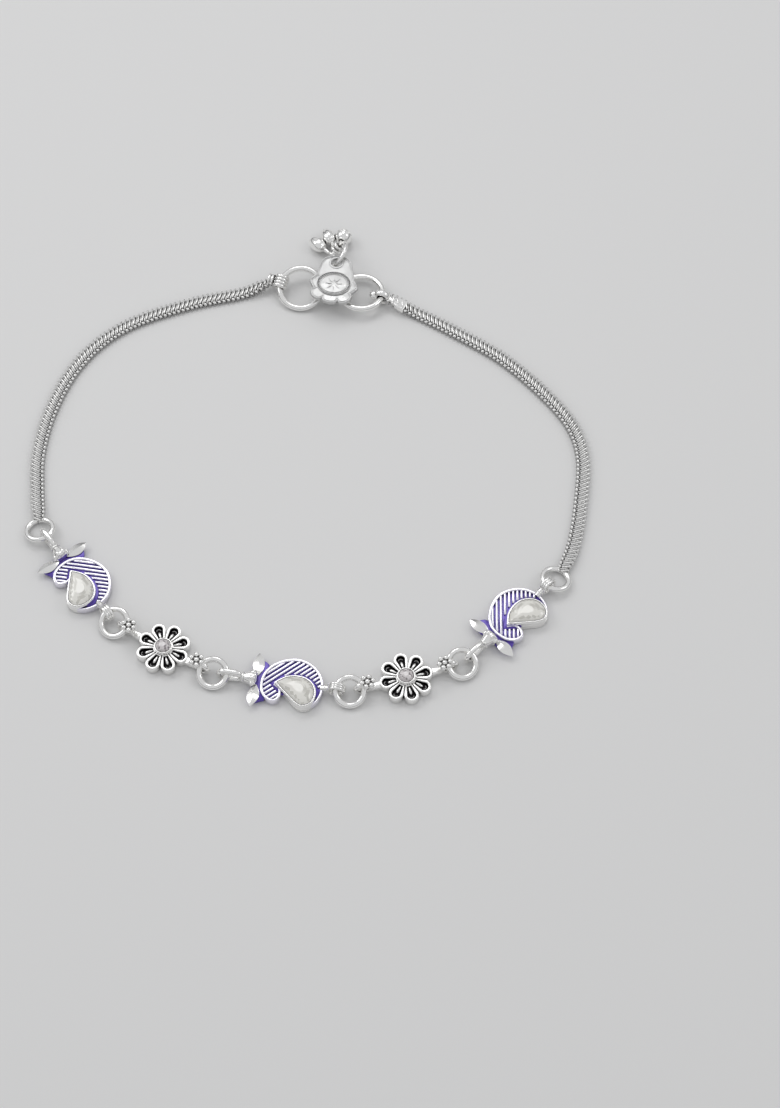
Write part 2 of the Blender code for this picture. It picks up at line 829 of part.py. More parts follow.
def build_paisley():
    """One paisley casting with rim, ribs, drop setting, leaves, calyx and eyes."""
    plate = flat_plate([paisley_outline(-PAISLEY_RIM_WIRE / 2)], 0.0, PAISLEY_FLOOR)
    ribbon = rim_line() + list(reversed(rim_line(-PAISLEY_RIM_WIRE)))
    rim = flat_plate([ribbon], PAISLEY_EDGE_LIFT, PAISLEY_RIM_HEIGHT)
    pit_outline = drop_outline(-DROP_BEZEL_WALL / 2)
    rim = cut(rim, flat_plate([pit_outline], DROP_SEAT_HEIGHT, DROP_BEZEL_HEIGHT))
    base = flat_plate([drop_outline()], PAISLEY_EDGE_LIFT / 2, DROP_SEAT_HEIGHT)
    wall_outlines = [drop_outline(-STONE_CLEARANCE / 4), drop_outline(-DROP_BEZEL_WALL)]
    wall = flat_plate(wall_outlines, PAISLEY_FLOOR / 2, DROP_BEZEL_HEIGHT)
    sepal_line = paisley_points(reversed(SEPAL_OUTLINE))
    sepals = flat_plate([sepal_line], PAISLEY_EDGE_LIFT * 0.7, SEPAL_THICKNESS)
    calyx_eye_at = -PAISLEY_MIDDLE - PAISLEY_BACK
    far_eye_at = -PAISLEY_MIDDLE + PAISLEY_AHEAD
    calyx_eye = mirrored(string_eye(-calyx_eye_at, CALYX_TO_RING_WIRE + CALYX_LENGTH * 0.2))
    far_eye = string_eye(far_eye_at, EYE_RADIUS + EYE_WIRE / 2)
    post_start = (far_eye_at - POST_LENGTH - PAISLEY_RIM_WIRE, 0.0, PAISLEY_RIM_HEIGHT * 0.85)
    post_end = (far_eye_at - EYE_RADIUS - EYE_WIRE * 0.1, 0.0, STRING_LEVEL)
    post = rod(POST_DIAMETER, post_start, post_end, TURN_STEPS)
    ribs = [rib(start, end) for start, end in rib_spans()]
    pieces = [plate, rim, base, wall, sepals, leaf(1), leaf(-1), calyx()]
    pieces += [calyx_eye, far_eye, post, *ribs]
    return fuse("paisley", pieces)


def build_drop_stone():
    """The drop stone of a paisley."""
    outline = offset(drop_outline(-DROP_BEZEL_WALL), -STONE_CLEARANCE)
    seat = DROP_SEAT_HEIGHT + STONE_CLEARANCE
    return faceted_stone(outline, seat, DROP_BEZEL_HEIGHT, STONE_CROWN)


def string_layout():
    """Walk the string both ways from the centre paisley.

    Gives the place and heading of each paisley and flower, and the centres of the rings.
    """
    headings = [math.radians(value) for value in STRING_HEADINGS]
    kinds = ("paisley", "flower", "paisley", "flower", "paisley")
    back = {"paisley": PAISLEY_BACK + PAISLEY_MIDDLE, "flower": FLOWER_EYE}
    ahead = {"paisley": PAISLEY_AHEAD - PAISLEY_MIDDLE, "flower": FLOWER_EYE}
    centre = len(kinds) // 2
    places = {centre: Vector((0.0, 0.0))}
    rings = {}
    last = len(kinds) - 1
    for at in range(centre, last):
        ring_at = places[at] + Vector(on_circle(ahead[kinds[at]] + JUMP_RADIUS, headings[at]))
        rings[at] = ring_at
        reach = back[kinds[at + 1]] + JUMP_RADIUS
        places[at + 1] = ring_at + Vector(on_circle(reach, headings[at + 1]))
    for at in range(centre, 0, -1):
        ring_at = places[at] - Vector(on_circle(back[kinds[at]] + JUMP_RADIUS, headings[at]))
        rings[at - 1] = ring_at
        reach = ahead[kinds[at - 1]] + JUMP_RADIUS
        places[at - 1] = ring_at - Vector(on_circle(reach, headings[at - 1]))
    right_reach = ahead[kinds[last]] + END_RADIUS
    right_end = places[last] + Vector(on_circle(right_reach, headings[last]))
    left_end = places[0] - Vector(on_circle(back[kinds[0]] + END_RADIUS, headings[0]))
    return kinds, headings, places, rings, left_end, right_end


def tilted_ring_frame(centre, level, heading, tilt):
    """A frame whose X is the held line at a heading and whose +Y side is tilted up."""
    place_at = Matrix.Translation((centre[0], centre[1], level))
    return place_at @ Matrix.Rotation(heading, 4, "Z") @ Matrix.Rotation(tilt, 4, "X")


def build_jump_rings(headings, rings):
    """The four rings between the castings, each resting on its near side."""
    for at in sorted(rings):
        bend = abs(headings[at + 1] - headings[at]) / 2
        heading = (headings[at + 1] + headings[at]) / 2
        tilt = rest_tilt(STRING_LEVEL, RING_WIRE, JUMP_RADIUS, bend)
        level = STRING_LEVEL - JUMP_RADIUS * math.sin(bend) * math.sin(tilt)
        ring = torus(JUMP_RADIUS, RING_WIRE, RING_SEGMENTS)
        frame = tilted_ring_frame(rings[at], level, heading, tilt)
        finish(place(ring, frame), f"jump_ring_{at + 1}", "silver")


def end_ring_frame(centre, eye_heading):
    """Frame of an end ring: X points at its eye, where it is highest."""
    low = END_RING_WIRE / 2 + FLOOR_GAP
    level = (STRING_LEVEL + low) / 2
    pitch = math.asin((STRING_LEVEL - low) / (2 * END_RADIUS))
    place_at = Matrix.Translation((centre[0], centre[1], level))
    return place_at @ Matrix.Rotation(eye_heading, 4, "Z") @ Matrix.Rotation(-pitch, 4, "Y")


def wire_point(frame, radius, world_angle):
    """The point of a ring's wire in a direction seen from above."""
    heading = frame.to_3x3() @ Vector((1.0, 0.0, 0.0))
    side = frame.to_3x3() @ Vector((0.0, 1.0, 0.0))
    goal = Vector(on_circle(1.0, world_angle))
    along = Vector((heading.x, heading.y))
    across = Vector((side.x, side.y))
    spread = along.x * across.y - along.y * across.x
    first = (goal.x * across.y - goal.y * across.x) / spread
    second = (along.x * goal.y - along.y * goal.x) / spread
    local = Vector((first, second, 0.0)).normalized() * radius
    tangent = Vector((-local.y, local.x, 0.0)).normalized()
    return frame @ local, frame.to_3x3() @ tangent


def spline_route(points, step):
    """Evenly spaced points of a smooth route in plan, with their directions."""
    fine = [Vector(point) for point in smooth_line(points, 24, False)]
    lengths = [0.0]
    for first, second in zip(fine, fine[1:]):
        lengths.append(lengths[-1] + (second - first).length)
    count = max(2, round(lengths[-1] / step))
    route = []
    span = 0
    for number in range(count + 1):
        goal = lengths[-1] * number / count
        while span < len(fine) - 2 and lengths[span + 1] < goal:
            span += 1
        share = (goal - lengths[span]) / (lengths[span + 1] - lengths[span])
        route.append((fine[span].lerp(fine[span + 1], share), goal))
    return route, lengths[-1]


def ease(share):
    """A smooth step from 0 to 1."""
    share = min(1.0, max(0.0, share))
    return share * share * (3 - 2 * share)


def plate_section(width, thickness):
    """The six corners of a plate's section: (across, up)."""
    flat = width / 2 - PLATE_CHAMFER
    return (
        (width / 2, 0.0),
        (flat, thickness / 2),
        (-flat, thickness / 2),
        (-width / 2, 0.0),
        (-flat, -thickness / 2),
        (flat, -thickness / 2),
    )


def chain_band(points, start_height, end_height, rope_length):
    """The flat plaited band: slanting plates, one notch and one crest a pitch.

    It lies on the surface, rises to its ends, and is a narrow rope for a length at its far end.
    """
    route, length = spline_route(points, PLATE_PITCH / 2)
    work = bmesh.new()
    rows = []
    for number, (spot, distance) in enumerate(route):
        before = route[max(0, number - 1)][0]
        after = route[min(len(route) - 1, number + 1)][0]
        heading = (after - before).normalized()
        side = Vector((-heading.y, heading.x))
        crest = number % 2 == 1
        rope = ease((distance - (length - rope_length)) / (CHAIN_END_TAPER / 2)) if rope_length else 0.0
        width = CHAIN_WIDTH + (ROPE_END_WIDTH - CHAIN_WIDTH) * rope
        thickness = CHAIN_THICKNESS + (ROPE_END_THICKNESS - CHAIN_THICKNESS) * rope
        if not crest:
            width -= 2 * PLATE_NOTCH
            thickness -= PLATE_GROOVE
        near_start = ease(1 - distance / CHAIN_RISE)
        near_end = ease(1 - (length - distance) / CHAIN_RISE)
        height = CHAIN_LEVEL + (start_height - CHAIN_LEVEL) * near_start
        height += (end_height - CHAIN_LEVEL) * near_end
        slant = min(1.0, distance / CHAIN_WIDTH, (length - distance) / CHAIN_WIDTH)
        corners = []
        for across, up in plate_section(width, thickness):
            lead = across * slant * 0.5
            x = spot.x + side.x * across + heading.x * lead
            y = spot.y + side.y * across + heading.y * lead
            corners.append(work.verts.new((x, y, height + up)))
        rows.append(corners)
    for first, second in zip(rows, rows[1:]):
        count = len(first)
        for at in range(count):
            beside = (at + 1) % count
            work.faces.new((first[at], first[beside], second[beside], second[at]))
    work.faces.new(rows[0])
    work.faces.new(rows[-1])
    bmesh.ops.recalc_face_normals(work, faces=work.faces)
    mesh = bpy.data.meshes.new("band")
    work.to_mesh(mesh)
    work.free()
    band = bpy.data.objects.new("band", mesh)
    COLLECTION.objects.link(band)
    return band


def chain_points(start, end, end_ring, clasp_ring, shares):
    """The plan points of a chain from its end ring's wire to the clasp ring's wire."""
    chord = clasp_ring - end_ring
    across = Vector((-chord.y, chord.x))
    middle = [end_ring + chord * along + across * aside for along, aside in shares]
    return [tuple(start), *[tuple(point) for point in middle], tuple(end)]


def wrap_frame(point, tangent):
    """A frame on a ring's wire whose Z runs along the wire."""
    turn = Vector(tangent).to_track_quat("Z", "Y").to_matrix().to_4x4()
    return Matrix.Translation(point) @ turn


def knot(point, tangent):
    """Turns of wire wrapped side by side round the clasp ring."""
    radius = CLASP_RING_WIRE / 2 + KNOT_CLEARANCE + KNOT_WIRE / 2
    frame = wrap_frame(point, tangent)
    turns = []
    for number in range(KNOT_TURNS):
        slide = (number - (KNOT_TURNS - 1) / 2) * KNOT_PITCH
        turn = torus(radius, KNOT_WIRE, EYE_SEGMENTS)
        turns.append(place(turn, frame @ Matrix.Translation((0.0, 0.0, slide))))
    return turns, radius


def neck(point, tangent, outward):
    """The thick loop and bead that hold the right clasp ring."""
    radius = CLASP_RING_WIRE / 2 + KNOT_CLEARANCE + NECK_WIRE / 2
    loop = place(torus(radius, NECK_WIRE, EYE_SEGMENTS), wrap_frame(point, tangent))
    bead = ball(NECK_BEAD_DIAMETER, TURN_STEPS, TURN_STEPS // 2)
    inner = Vector(point) - Vector((*outward, 0.0)) * (radius + NECK_WIRE / 3)
    return [loop, place(bead, Matrix.Translation(inner))], radius


def build_chain(name, end_ring, eye_heading, start_heading, clasp_frame, clasp_direction, shares,
                rope_length):
    """One side chain, soldered to its end ring and to its holder on the clasp ring."""
    ring_frame = end_ring_frame(end_ring, eye_heading)
    start, _ = wire_point(ring_frame, END_RADIUS, start_heading)
    held, tangent = wire_point(clasp_frame, CLASP_RADIUS, clasp_direction)
    outward = Vector(on_circle(1.0, clasp_direction))
    if rope_length:
        holder, radius = knot(held, tangent)
    else:
        holder, radius = neck(held, tangent, outward)
    end = Vector((held.x, held.y)) + outward * radius
    clasp_ring = clasp_frame.translation.to_2d()
    points = chain_points(start.to_2d(), end, end_ring, clasp_ring, shares)
    band = chain_band(points, start.z + CHAIN_LAP, held.z, rope_length)
    ring = place(torus(END_RADIUS, END_RING_WIRE, RING_SEGMENTS), ring_frame)
    finish(fuse(name, [band, ring, *holder]), name, "silver")


def clasp_frames():
    """Frames of the clasp's middle and of its left and right rings."""
    middle = Vector((CLASP_ASIDE, CLASP_DEPTH))
    step = Vector(on_circle(CLASP_RING_SPACING / 2, CLASP_HEADING))
    left_tilt = rest_tilt(CLASP_LEVEL, CLASP_RING_WIRE, CLASP_RADIUS)
    left = tilted_ring_frame(middle - step, CLASP_LEVEL, CLASP_HEADING, left_tilt)
    right = tilted_ring_frame(middle + step, CLASP_LEVEL, CLASP_HEADING, RIGHT_CLASP_RING_TILT)
    level = Matrix.Translation((middle.x, middle.y, 0.0)) @ Matrix.Rotation(CLASP_HEADING, 4, "Z")
    return level, left, right


def tag_outline():
    """The edge of the tag: five lobes, the side ones pointed, under a broad top."""
    outline = []
    side, corner = TAG_WIDTH / 2, TAG_CORNER_REACH
    half = math.pi / 8
    for lobe, reach in enumerate((side, corner, TAG_BOTTOM_REACH, corner, side)):
        middle = math.pi + TAG_LOBE_TURN + 2 * half * lobe
        for turn in (-1.0, -0.85, -0.5, 0.0, 0.5, 0.85):
            swell = 1 - abs(turn) if reach == side else math.sqrt(1 - turn * turn)
            radius = TAG_NOTCH_RADIUS + (reach - TAG_NOTCH_RADIUS) * swell
            outline.append(on_circle(radius, middle + turn * half))
    outline.append(on_circle(TAG_NOTCH_RADIUS, middle + half))
    outline += [(across * TAG_TOP_REACH, up * TAG_TOP_REACH) for across, up in TAG_SHIELD]
    return outline


def tag_plate_bottom():
    """Height of the underside of the tag, sunk a little into the hook below it."""
    return CLASP_LEVEL + HOOK_RADIUS + HOOK_WIRE / 2 - TAG_SINK


def build_tag(frame):
    """The tag plate with its raised field and the plain hook under it."""
    bottom = tag_plate_bottom()
    top = bottom + TAG_THICKNESS
    hole = circle_outline(TAG_HOLE_DIAMETER / 2, RING_SEGMENTS)
    hole = [(x, y + TAG_HOLE_REACH) for x, y in hole]
    plate = flat_plate([tag_outline(), hole], bottom, top)
    field_outline = [
        (x * TAG_FIELD_WIDTH / 2, y * TAG_FIELD_DEPTH / 2)
        for x, y in circle_outline(1.0, RING_SEGMENTS)
    ]
    field = flat_plate([field_outline], bottom + TAG_THICKNESS / 2, top + TAG_FIELD_RAISE)
    shift = Matrix.Translation((TAG_SHIFT, 0.0, 0.0))
    pieces = [place(plate, shift), place(field, shift)]
    eye_at = CLASP_RING_SPACING / 2 - CLASP_RADIUS
    outer = HOOK_RADIUS + HOOK_WIRE / 2
    for side in (1, -1):
        loop = eye_loop(eye_at, CLASP_LEVEL, HOOK_RADIUS, HOOK_WIRE, outer, outer)
        pieces.append(loop if side > 0 else mirrored(loop))
    tag = fuse("clasp_tag", pieces)
    finish(place(tag, frame), "clasp_tag", "silver")


def dangle_ring_frame(frame):
    """Frame of the dangle ring: X points out from the tag's hole along the ring's middle."""
    hole = Vector((TAG_SHIFT, TAG_HOLE_REACH, tag_plate_bottom() + TAG_THICKNESS / 2))
    outward = Matrix.Rotation(math.pi / 2, 4, "Z")
    pitch = Matrix.Rotation(DANGLE_RING_PITCH, 4, "Y")
    roll = Matrix.Rotation(math.pi / 2 - DANGLE_RING_ROLL, 4, "X")
    reach = Matrix.Translation((DANGLE_RADIUS, 0.0, 0.0))
    return frame @ Matrix.Translation(hole) @ outward @ pitch @ roll @ reach


def hung_frame(ring_frame, ring_angle, tip_height, tip_direction, length):
    """Frame of a dangle: origin in its eye, Z down its body, X along the ring's wire."""
    local = Vector((*on_circle(DANGLE_RADIUS, ring_angle), 0.0))
    tangent = ring_frame.to_3x3() @ Vector((-local.y, local.x, 0.0)).normalized()
    eye = ring_frame @ local
    drop = max(-0.95, min(0.95, (tip_height - eye.z) / length))
    level = math.sqrt(1 - drop * drop)
    down = Vector((*on_circle(level, tip_direction), drop))
    across = (tangent - down * tangent.dot(down)).normalized()
    third = down.cross(across)
    turn = Matrix((across, third, down)).transposed().to_4x4()
    return Matrix.Translation(eye) @ turn


def dangle_eye(neck_length):
    """The eye and the neck of a dangle, the neck running up Z."""
    radius = DANGLE_RING_WIRE / 2 + DANGLE_EYE_CLEARANCE + DANGLE_EYE_WIRE / 2
    eye = place(torus(radius, DANGLE_EYE_WIRE, EYE_SEGMENTS), Matrix.Rotation(math.pi / 2, 4, "Y"))
    end = radius + neck_length
    stem = rod(DANGLE_NECK_DIAMETER, (0.0, 0.0, radius), (0.0, 0.0, end + DANGLE_EYE_WIRE), 8)
    return [eye, stem], end


def build_dangles(ring_frame):
    """Two buds and a ball hung on the dangle ring, lying on the surface."""
    heel_heading = math.atan2(ring_frame.col[0][1], ring_frame.col[0][0])
    bud_rest = BUD_DIAMETER / 2 + FLOOR_GAP
    ball_rest = BALL_DIAMETER / 2 + FLOOR_GAP
    for name, ring_angle, spread in DANGLE_PLACES:
        if name == "dangle_ball":
            pieces, body_start = dangle_eye(BALL_NECK_LENGTH)
            rest, reach = ball_rest, BALL_DIAMETER / 2
            body = ball(BALL_DIAMETER, TURN_STEPS, TURN_STEPS // 2)
            body = place(body, Matrix.Translation((0.0, 0.0, body_start + reach)))
        else:
            pieces, body_start = dangle_eye(BUD_NECK_LENGTH)
            rest, reach = bud_rest, BUD_LENGTH / 2
            profile = [(BUD_DIAMETER / 2 * out, BUD_LENGTH * along) for out, along in BUD_PROFILE]
            body = turned(profile, TURN_STEPS)
            body = place(body, Matrix.Translation((0.0, 0.0, body_start)))
        direction = heel_heading + math.radians(spread)
        frame = hung_frame(ring_frame, math.radians(ring_angle), rest, direction, body_start + reach)
        finish(place(fuse(name, [body, *pieces]), frame), name, "silver")


def centre_on_surface():
    """Slide the anklet so that its box stands on the origin, centred in plan."""
    bpy.context.view_layer.update()
    low = Vector((math.inf,) * 3)
    high = Vector((-math.inf,) * 3)
    for piece in COLLECTION.objects:
        if piece.type != "MESH":
            continue
        for vertex in piece.data.vertices:
            spot = piece.matrix_world @ vertex.co
            low = Vector(map(min, low, spot))
            high = Vector(map(max, high, spot))
    PARENT.location = (-(low.x + high.x) / 2, -(low.y + high.y) / 2, -low.z)


def main():
    """Build the whole anklet."""
    kinds, headings, places, rings, left_end, right_end = string_layout()
    for kind, build, stone, slot in (
        ("paisley", build_paisley, build_drop_stone, "purple_enamelled_silver"),
        ("flower", build_flower, build_flower_stone, "oxidised_silver"),
    ):
        chosen = [at for at, name in enumerate(kinds) if name == kind]
        spots = [((places[at].x, places[at].y, 0.0), headings[at]) for at in chosen]
        names = [f"{kind}_{number + 1}" for number in range(len(chosen))]
        copies(build(), names, slot, spots)
        copies(stone(), [f"{name}_stone" for name in names], "clear_stone", spots)
    build_jump_rings(headings, rings)

    level, left, right = clasp_frames()
    left_ring = torus(CLASP_RADIUS, CLASP_RING_WIRE, CLASP_RING_SEGMENTS)
    finish(place(left_ring, left), "clasp_ring_left", "silver")
    right_ring = torus(CLASP_RADIUS, CLASP_RING_WIRE, CLASP_RING_SEGMENTS)
    finish(place(right_ring, right), "clasp_ring_right", "silver")
    build_chain("left_chain", left_end, headings[0], LEFT_CHAIN_START_HEADING, left,
                LEFT_KNOT_DIRECTION, LEFT_CHAIN_ROUTE, CHAIN_END_TAPER)
    build_chain("right_chain", right_end, headings[-1] + math.pi, RIGHT_CHAIN_START_HEADING, right,
                RIGHT_NECK_DIRECTION, RIGHT_CHAIN_ROUTE, 0.0)

    build_tag(level)
    ring_frame = dangle_ring_frame(level)
    dangle_ring = torus(DANGLE_RADIUS, DANGLE_RING_WIRE, RING_SEGMENTS)
    finish(place(dangle_ring, ring_frame), "dangle_ring", "silver")
    build_dangles(ring_frame)
    centre_on_surface()


main()
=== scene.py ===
"""Looks of a silver payal anklet that lies closed on a pale surface.

The front is a string of three enamelled paisleys and two blackened flowers joined by jump rings,
the sides are two flat plaited chains, and the back is a clasp of two rings under a scalloped tag
with three small dangles. Lengths are in metres, the surface is Z = 0 and the clasp is at +Y.
"""

import logging
from dataclasses import dataclass, field
from enum import Enum
from math import asin, atan2, cos, dist, inf, pi, radians, sin, sqrt
from typing import Callable, Iterable, Sequence

import bpy
from mathutils import Matrix, Vector


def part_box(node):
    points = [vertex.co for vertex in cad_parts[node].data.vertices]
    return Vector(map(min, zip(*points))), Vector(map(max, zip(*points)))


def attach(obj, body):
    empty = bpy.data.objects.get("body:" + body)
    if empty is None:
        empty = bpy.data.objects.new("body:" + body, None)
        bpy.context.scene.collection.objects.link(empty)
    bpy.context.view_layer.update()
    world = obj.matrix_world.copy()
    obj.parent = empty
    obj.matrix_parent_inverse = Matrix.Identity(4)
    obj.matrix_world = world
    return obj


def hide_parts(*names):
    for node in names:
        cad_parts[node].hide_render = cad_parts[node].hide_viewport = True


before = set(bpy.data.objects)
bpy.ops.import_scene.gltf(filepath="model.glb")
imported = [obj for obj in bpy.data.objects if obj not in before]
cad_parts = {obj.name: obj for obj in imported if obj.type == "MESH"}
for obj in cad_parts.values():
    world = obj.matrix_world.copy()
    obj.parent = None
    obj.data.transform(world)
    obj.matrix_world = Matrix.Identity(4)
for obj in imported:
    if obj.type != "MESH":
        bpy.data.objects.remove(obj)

LOG = logging.getLogger("payal_anklet")
MM = 0.001
Point = tuple[float, float]
Colour = tuple[float, float, float]
Piece = bpy.types.Object
Node = bpy.types.Node
Socket = bpy.types.NodeSocket

# Paisley outlines: shares of its length, along from the calyx side and across to the left
PAISLEY_RIM = (
    (0.784, -0.385), (0.930, -0.250), (0.992, -0.020), (0.935, 0.195), (0.783, 0.360),
    (0.560, 0.446), (0.325, 0.405), (0.115, 0.265), (0.006, 0.060), (0.020, -0.170),
    (0.118, -0.312), (0.255, -0.352), (0.342, -0.260), (0.336, -0.115), (0.221, -0.031),
)
PAISLEY_INSIDE = ((0.450, -0.120), (0.640, -0.250))
DROP_OUTLINE = (
    (0.215, -0.040), (0.433, -0.232), (0.620, -0.378), (0.744, -0.397), (0.850, -0.330),
    (0.895, -0.190), (0.875, -0.050), (0.790, 0.060), (0.660, 0.122), (0.500, 0.126),
    (0.355, 0.074),
)
SEPAL_OUTLINE = (
    (-0.110, 0.060), (-0.135, 0.220), (-0.100, 0.370), (-0.010, 0.360), (0.100, 0.270),
    (0.120, 0.000), (0.110, -0.280), (0.050, -0.330), (-0.060, -0.380), (-0.130, -0.220),
)

# Shoulders of the tag's top lobe, as shares of its reach, across and up
TAG_SHIELD = (
    (0.52, 0.42), (0.45, 0.72), (0.36, 0.88), (0.20, 0.97), (0.0, 1.0), (-0.20, 0.97),
    (-0.36, 0.88), (-0.45, 0.72), (-0.52, 0.42),
)

# Turned forms: shares of the largest radius and of the length
CALYX_PROFILE = (
    (0.0, 1.1), (0.7, 1.1), (0.9, 1.04), (1.0, 0.92), (0.96, 0.75), (0.84, 0.55), (0.70, 0.33),
    (0.56, 0.13), (0.52, 0.0), (0.42, -0.06), (0.0, -0.06),
)
BUD_PROFILE = (
    (0.0, 1.0), (0.2, 0.995), (0.38, 0.96), (0.62, 0.86), (0.85, 0.70), (0.98, 0.54),
    (1.0, 0.43), (0.93, 0.30), (0.78, 0.18), (0.56, 0.07), (0.36, 0.0), (0.0, 0.0),
)

# Crown of a cut stone: share of the girdle's outline, share of the crown's height, and how many
# steps round its corners are shifted
CROWN_ROWS = ((0.90, 0.42, 0.5), (0.76, 0.70, 0.0), (0.56, 0.90, 0.5), (0.34, 1.0, 0.0))
CULET_SHARE = 0.18
GIRDLE_DEPTH = 0.10 * MM

# Unlike factors, so that neighbouring facets get unlike painted shade, standing in for the light
# they reflect
PAINTED_FACET_SHADE_FACTORS = (9.7, 7.3, 5.1)

# Relief of cast and drawn metal: name, size of its noise, stretch along the scratches, weight
GRAIN_LAYERS = (
    ("Fine", 9000.0, 1.0, 0.4), ("Coarse", 1400.0, 1.0, 0.4), ("Scratches", 2500.0, 0.06, 0.2),
)
SCRATCH_TURN = radians(35.0)

# Wear and painted shade: steps that the noise and the painted shade of crevices are spread over,
# and the share of tarnish that the noise leaves alone
CLOUD_STEPS = (0.3, 0.7)
CREVICE_SHADE_STEPS = (0.25, 0.85)
EVEN_TARNISH = 0.4

# Chain routes: shares along and across the straight line from end ring to clasp ring
LEFT_CHAIN_ROUTE = (
    (0.085, 0.095), (0.163, 0.168), (0.268, 0.233), (0.392, 0.280), (0.510, 0.293),
    (0.630, 0.269), (0.775, 0.195), (0.880, 0.122),
)
RIGHT_CHAIN_ROUTE = (
    (0.066, -0.094), (0.155, -0.168), (0.270, -0.246), (0.370, -0.275), (0.490, -0.265),
    (0.639, -0.226), (0.775, -0.160), (0.875, -0.103),
)


class Slot(Enum):
    """Material slots of the record."""

    SILVER = "silver"
    OXIDISED = "oxidised_silver"
    ENAMEL = "purple_enamelled_silver"
    STONE = "clear_stone"


class Side(Enum):
    """The two sides of the anklet, seen from above with the clasp at the top."""

    LEFT = "left"
    RIGHT = "right"


class Kind(Enum):
    """The two kinds of casting in the front string."""

    PAISLEY = "paisley"
    FLOWER = "flower"


# Lines in plan


def on_circle(radius: float, angle: float) -> Point:
    """Give a point of a circle round the origin."""
    return radius * cos(angle), radius * sin(angle)


def turn_point(point: Point, angle: float) -> Point:
    """Turn a point round the origin."""
    x, y = point
    return (
        x * cos(angle) - y * sin(angle),
        x * sin(angle) + y * cos(angle),
    )


def arc(radius: float, reach: float, count: int, middle: float = 0.0) -> list[Point]:
    """Give points of an arc round the origin, anticlockwise.

    Args:
        radius: its radius.
        reach: how many degrees it runs to either side of its middle.
        count: how many points it has.
        middle: the direction of its middle.

    Returns:
        The points.
    """
    turns = [radians(-reach + 2 * reach * at / (count - 1)) for at in range(count)]
    return [on_circle(radius, middle + turn) for turn in turns]


def circle_outline(radius: float, count: int) -> list[Point]:
    """Give a closed round outline, anticlockwise."""
    return [on_circle(radius, 2 * pi * at / count) for at in range(count)]


def hermite(start: Vector, leave: Vector, end: Vector, arrive: Vector, share: float) -> Vector:
    """Give a point of the cubic between two points with given tangents."""
    square = share * share
    cube = square * share
    return (
        start * (2 * cube - 3 * square + 1)
        + leave * (cube - 2 * square + share)
        + end * (3 * square - 2 * cube)
        + arrive * (cube - square)
    )


def smooth_line(
    points: Sequence[Point], steps: int, closed: bool, corners: Sequence[int] = ()
) -> list[Point]:
    """Draw a smooth line through points.

    Args:
        points: the points that the line goes through.
        steps: how many short lines stand for each span.
        closed: whether the last point joins the first.
        corners: numbers of the points where the line is sharp.

    Returns:
        The points of the smooth line.
    """
    count = len(points)
    vectors = [Vector((*point, 0.0)) for point in points]
    line = []
    for start in range(count if closed else count - 1):
        end = (start + 1) % count
        before = start if start in corners else (start - 1) % count
        after = end if end in corners else (end + 1) % count
        if not closed and start == 0:
            before = 0
        if not closed and end == count - 1:
            after = end
        leave = (vectors[end] - vectors[before]) / 2
        arrive = (vectors[after] - vectors[start]) / 2
        for step in range(steps):
            line.append(hermite(vectors[start], leave, vectors[end], arrive, step / steps))
    if not closed:
        line.append(vectors[-1])
    return [(spot.x, spot.y) for spot in line]


def offset(
    outline: Sequence[Point], distance: float | Sequence[float], closed: bool = True
) -> list[Point]:
    """Move an anticlockwise line outwards.

    Args:
        outline: the line's points.
        distance: how far it moves, or how far each point does; inwards where negative.
        closed: whether the last point joins the first.

    Returns:
        The moved line, its corners mitred.
    """
    moved = []
    count = len(outline)
    reaches = distance if isinstance(distance, Sequence) else [distance] * count
    for at, point in enumerate(outline):
        here = Vector(point)
        before = Vector(outline[at - 1])
        after = Vector(outline[(at + 1) % count])
        if not closed and at == 0:
            before = 2 * here - after
        if not closed and at == count - 1:
            after = 2 * here - before
        into = (here - before).normalized()
        out_of = (after - here).normalized()
        normal_in = Vector((into.y, -into.x))
        middle = (normal_in + Vector((out_of.y, -out_of.x))).normalized()
        moved.append(tuple(here + middle * reaches[at] / max(0.5, middle.dot(normal_in))))
    return moved


def clearance(outline: Sequence[Point], point: Point) -> float:
    """Give the distance from a point to a closed outline."""
    spot = Vector(point)
    nearest = inf
    for at, end in enumerate(outline):
        start = Vector(outline[at - 1])
        step = Vector(end) - start
        share = min(1.0, max(0.0, (spot - start).dot(step) / step.length_squared))
        nearest = min(nearest, (start + step * share - spot).length)
    return nearest


def blunt(outline: Sequence[Point], reach: float, share: float = 0.4) -> list[Point]:
    """Cut off the sharp corner at the first point of a closed outline.

    Args:
        outline: the outline's points.
        reach: how far from the corner each side is cut.
        share: the most of a side that may go.

    Returns:
        The outline with two corners in place of the sharp one.
    """
    tip = Vector(outline[0])
    cuts = []
    for at in (1, -1):
        side = Vector(outline[at]) - tip
        cuts.append(tuple(tip + side.normalized() * min(reach, side.length * share)))
    return [cuts[0], *outline[1:], cuts[1]]


def thin_out(outline: Sequence[Point], gap: float) -> list[Point]:
    """Leave out points of a closed outline that lie nearer than a gap to the one before."""
    kept = [outline[0]]
    for point in outline[1:]:
        if dist(point, kept[-1]) > gap:
            kept.append(point)
    if dist(kept[-1], kept[0]) < gap:
        kept.pop()
    return kept


def inside(outline: Sequence[Point], point: Point) -> bool:
    """Tell whether a point lies inside a closed outline."""
    x, y = point
    within = False
    for at, (x1, y1) in enumerate(outline):
        x0, y0 = outline[at - 1]
        if (y0 > y) != (y1 > y) and x < x0 + (y - y0) * (x1 - x0) / (y1 - y0):
            within = not within
    return within


def ease(share: float) -> float:
    """Give a smooth step from 0 to 1."""
    share = min(1.0, max(0.0, share))
    return share * share * (3 - 2 * share)


# Places and turns


def shifted(x: float, y: float, z: float = 0.0) -> Matrix:
    """Give the matrix of a step."""
    return Matrix.Translation((x, y, z))


def turned(angle: float, axis: str = "Z") -> Matrix:
    """Give the matrix of a turn about an axis."""
    return Matrix.Rotation(angle, 4, axis)


# Work at the bench: operators on one piece at a time


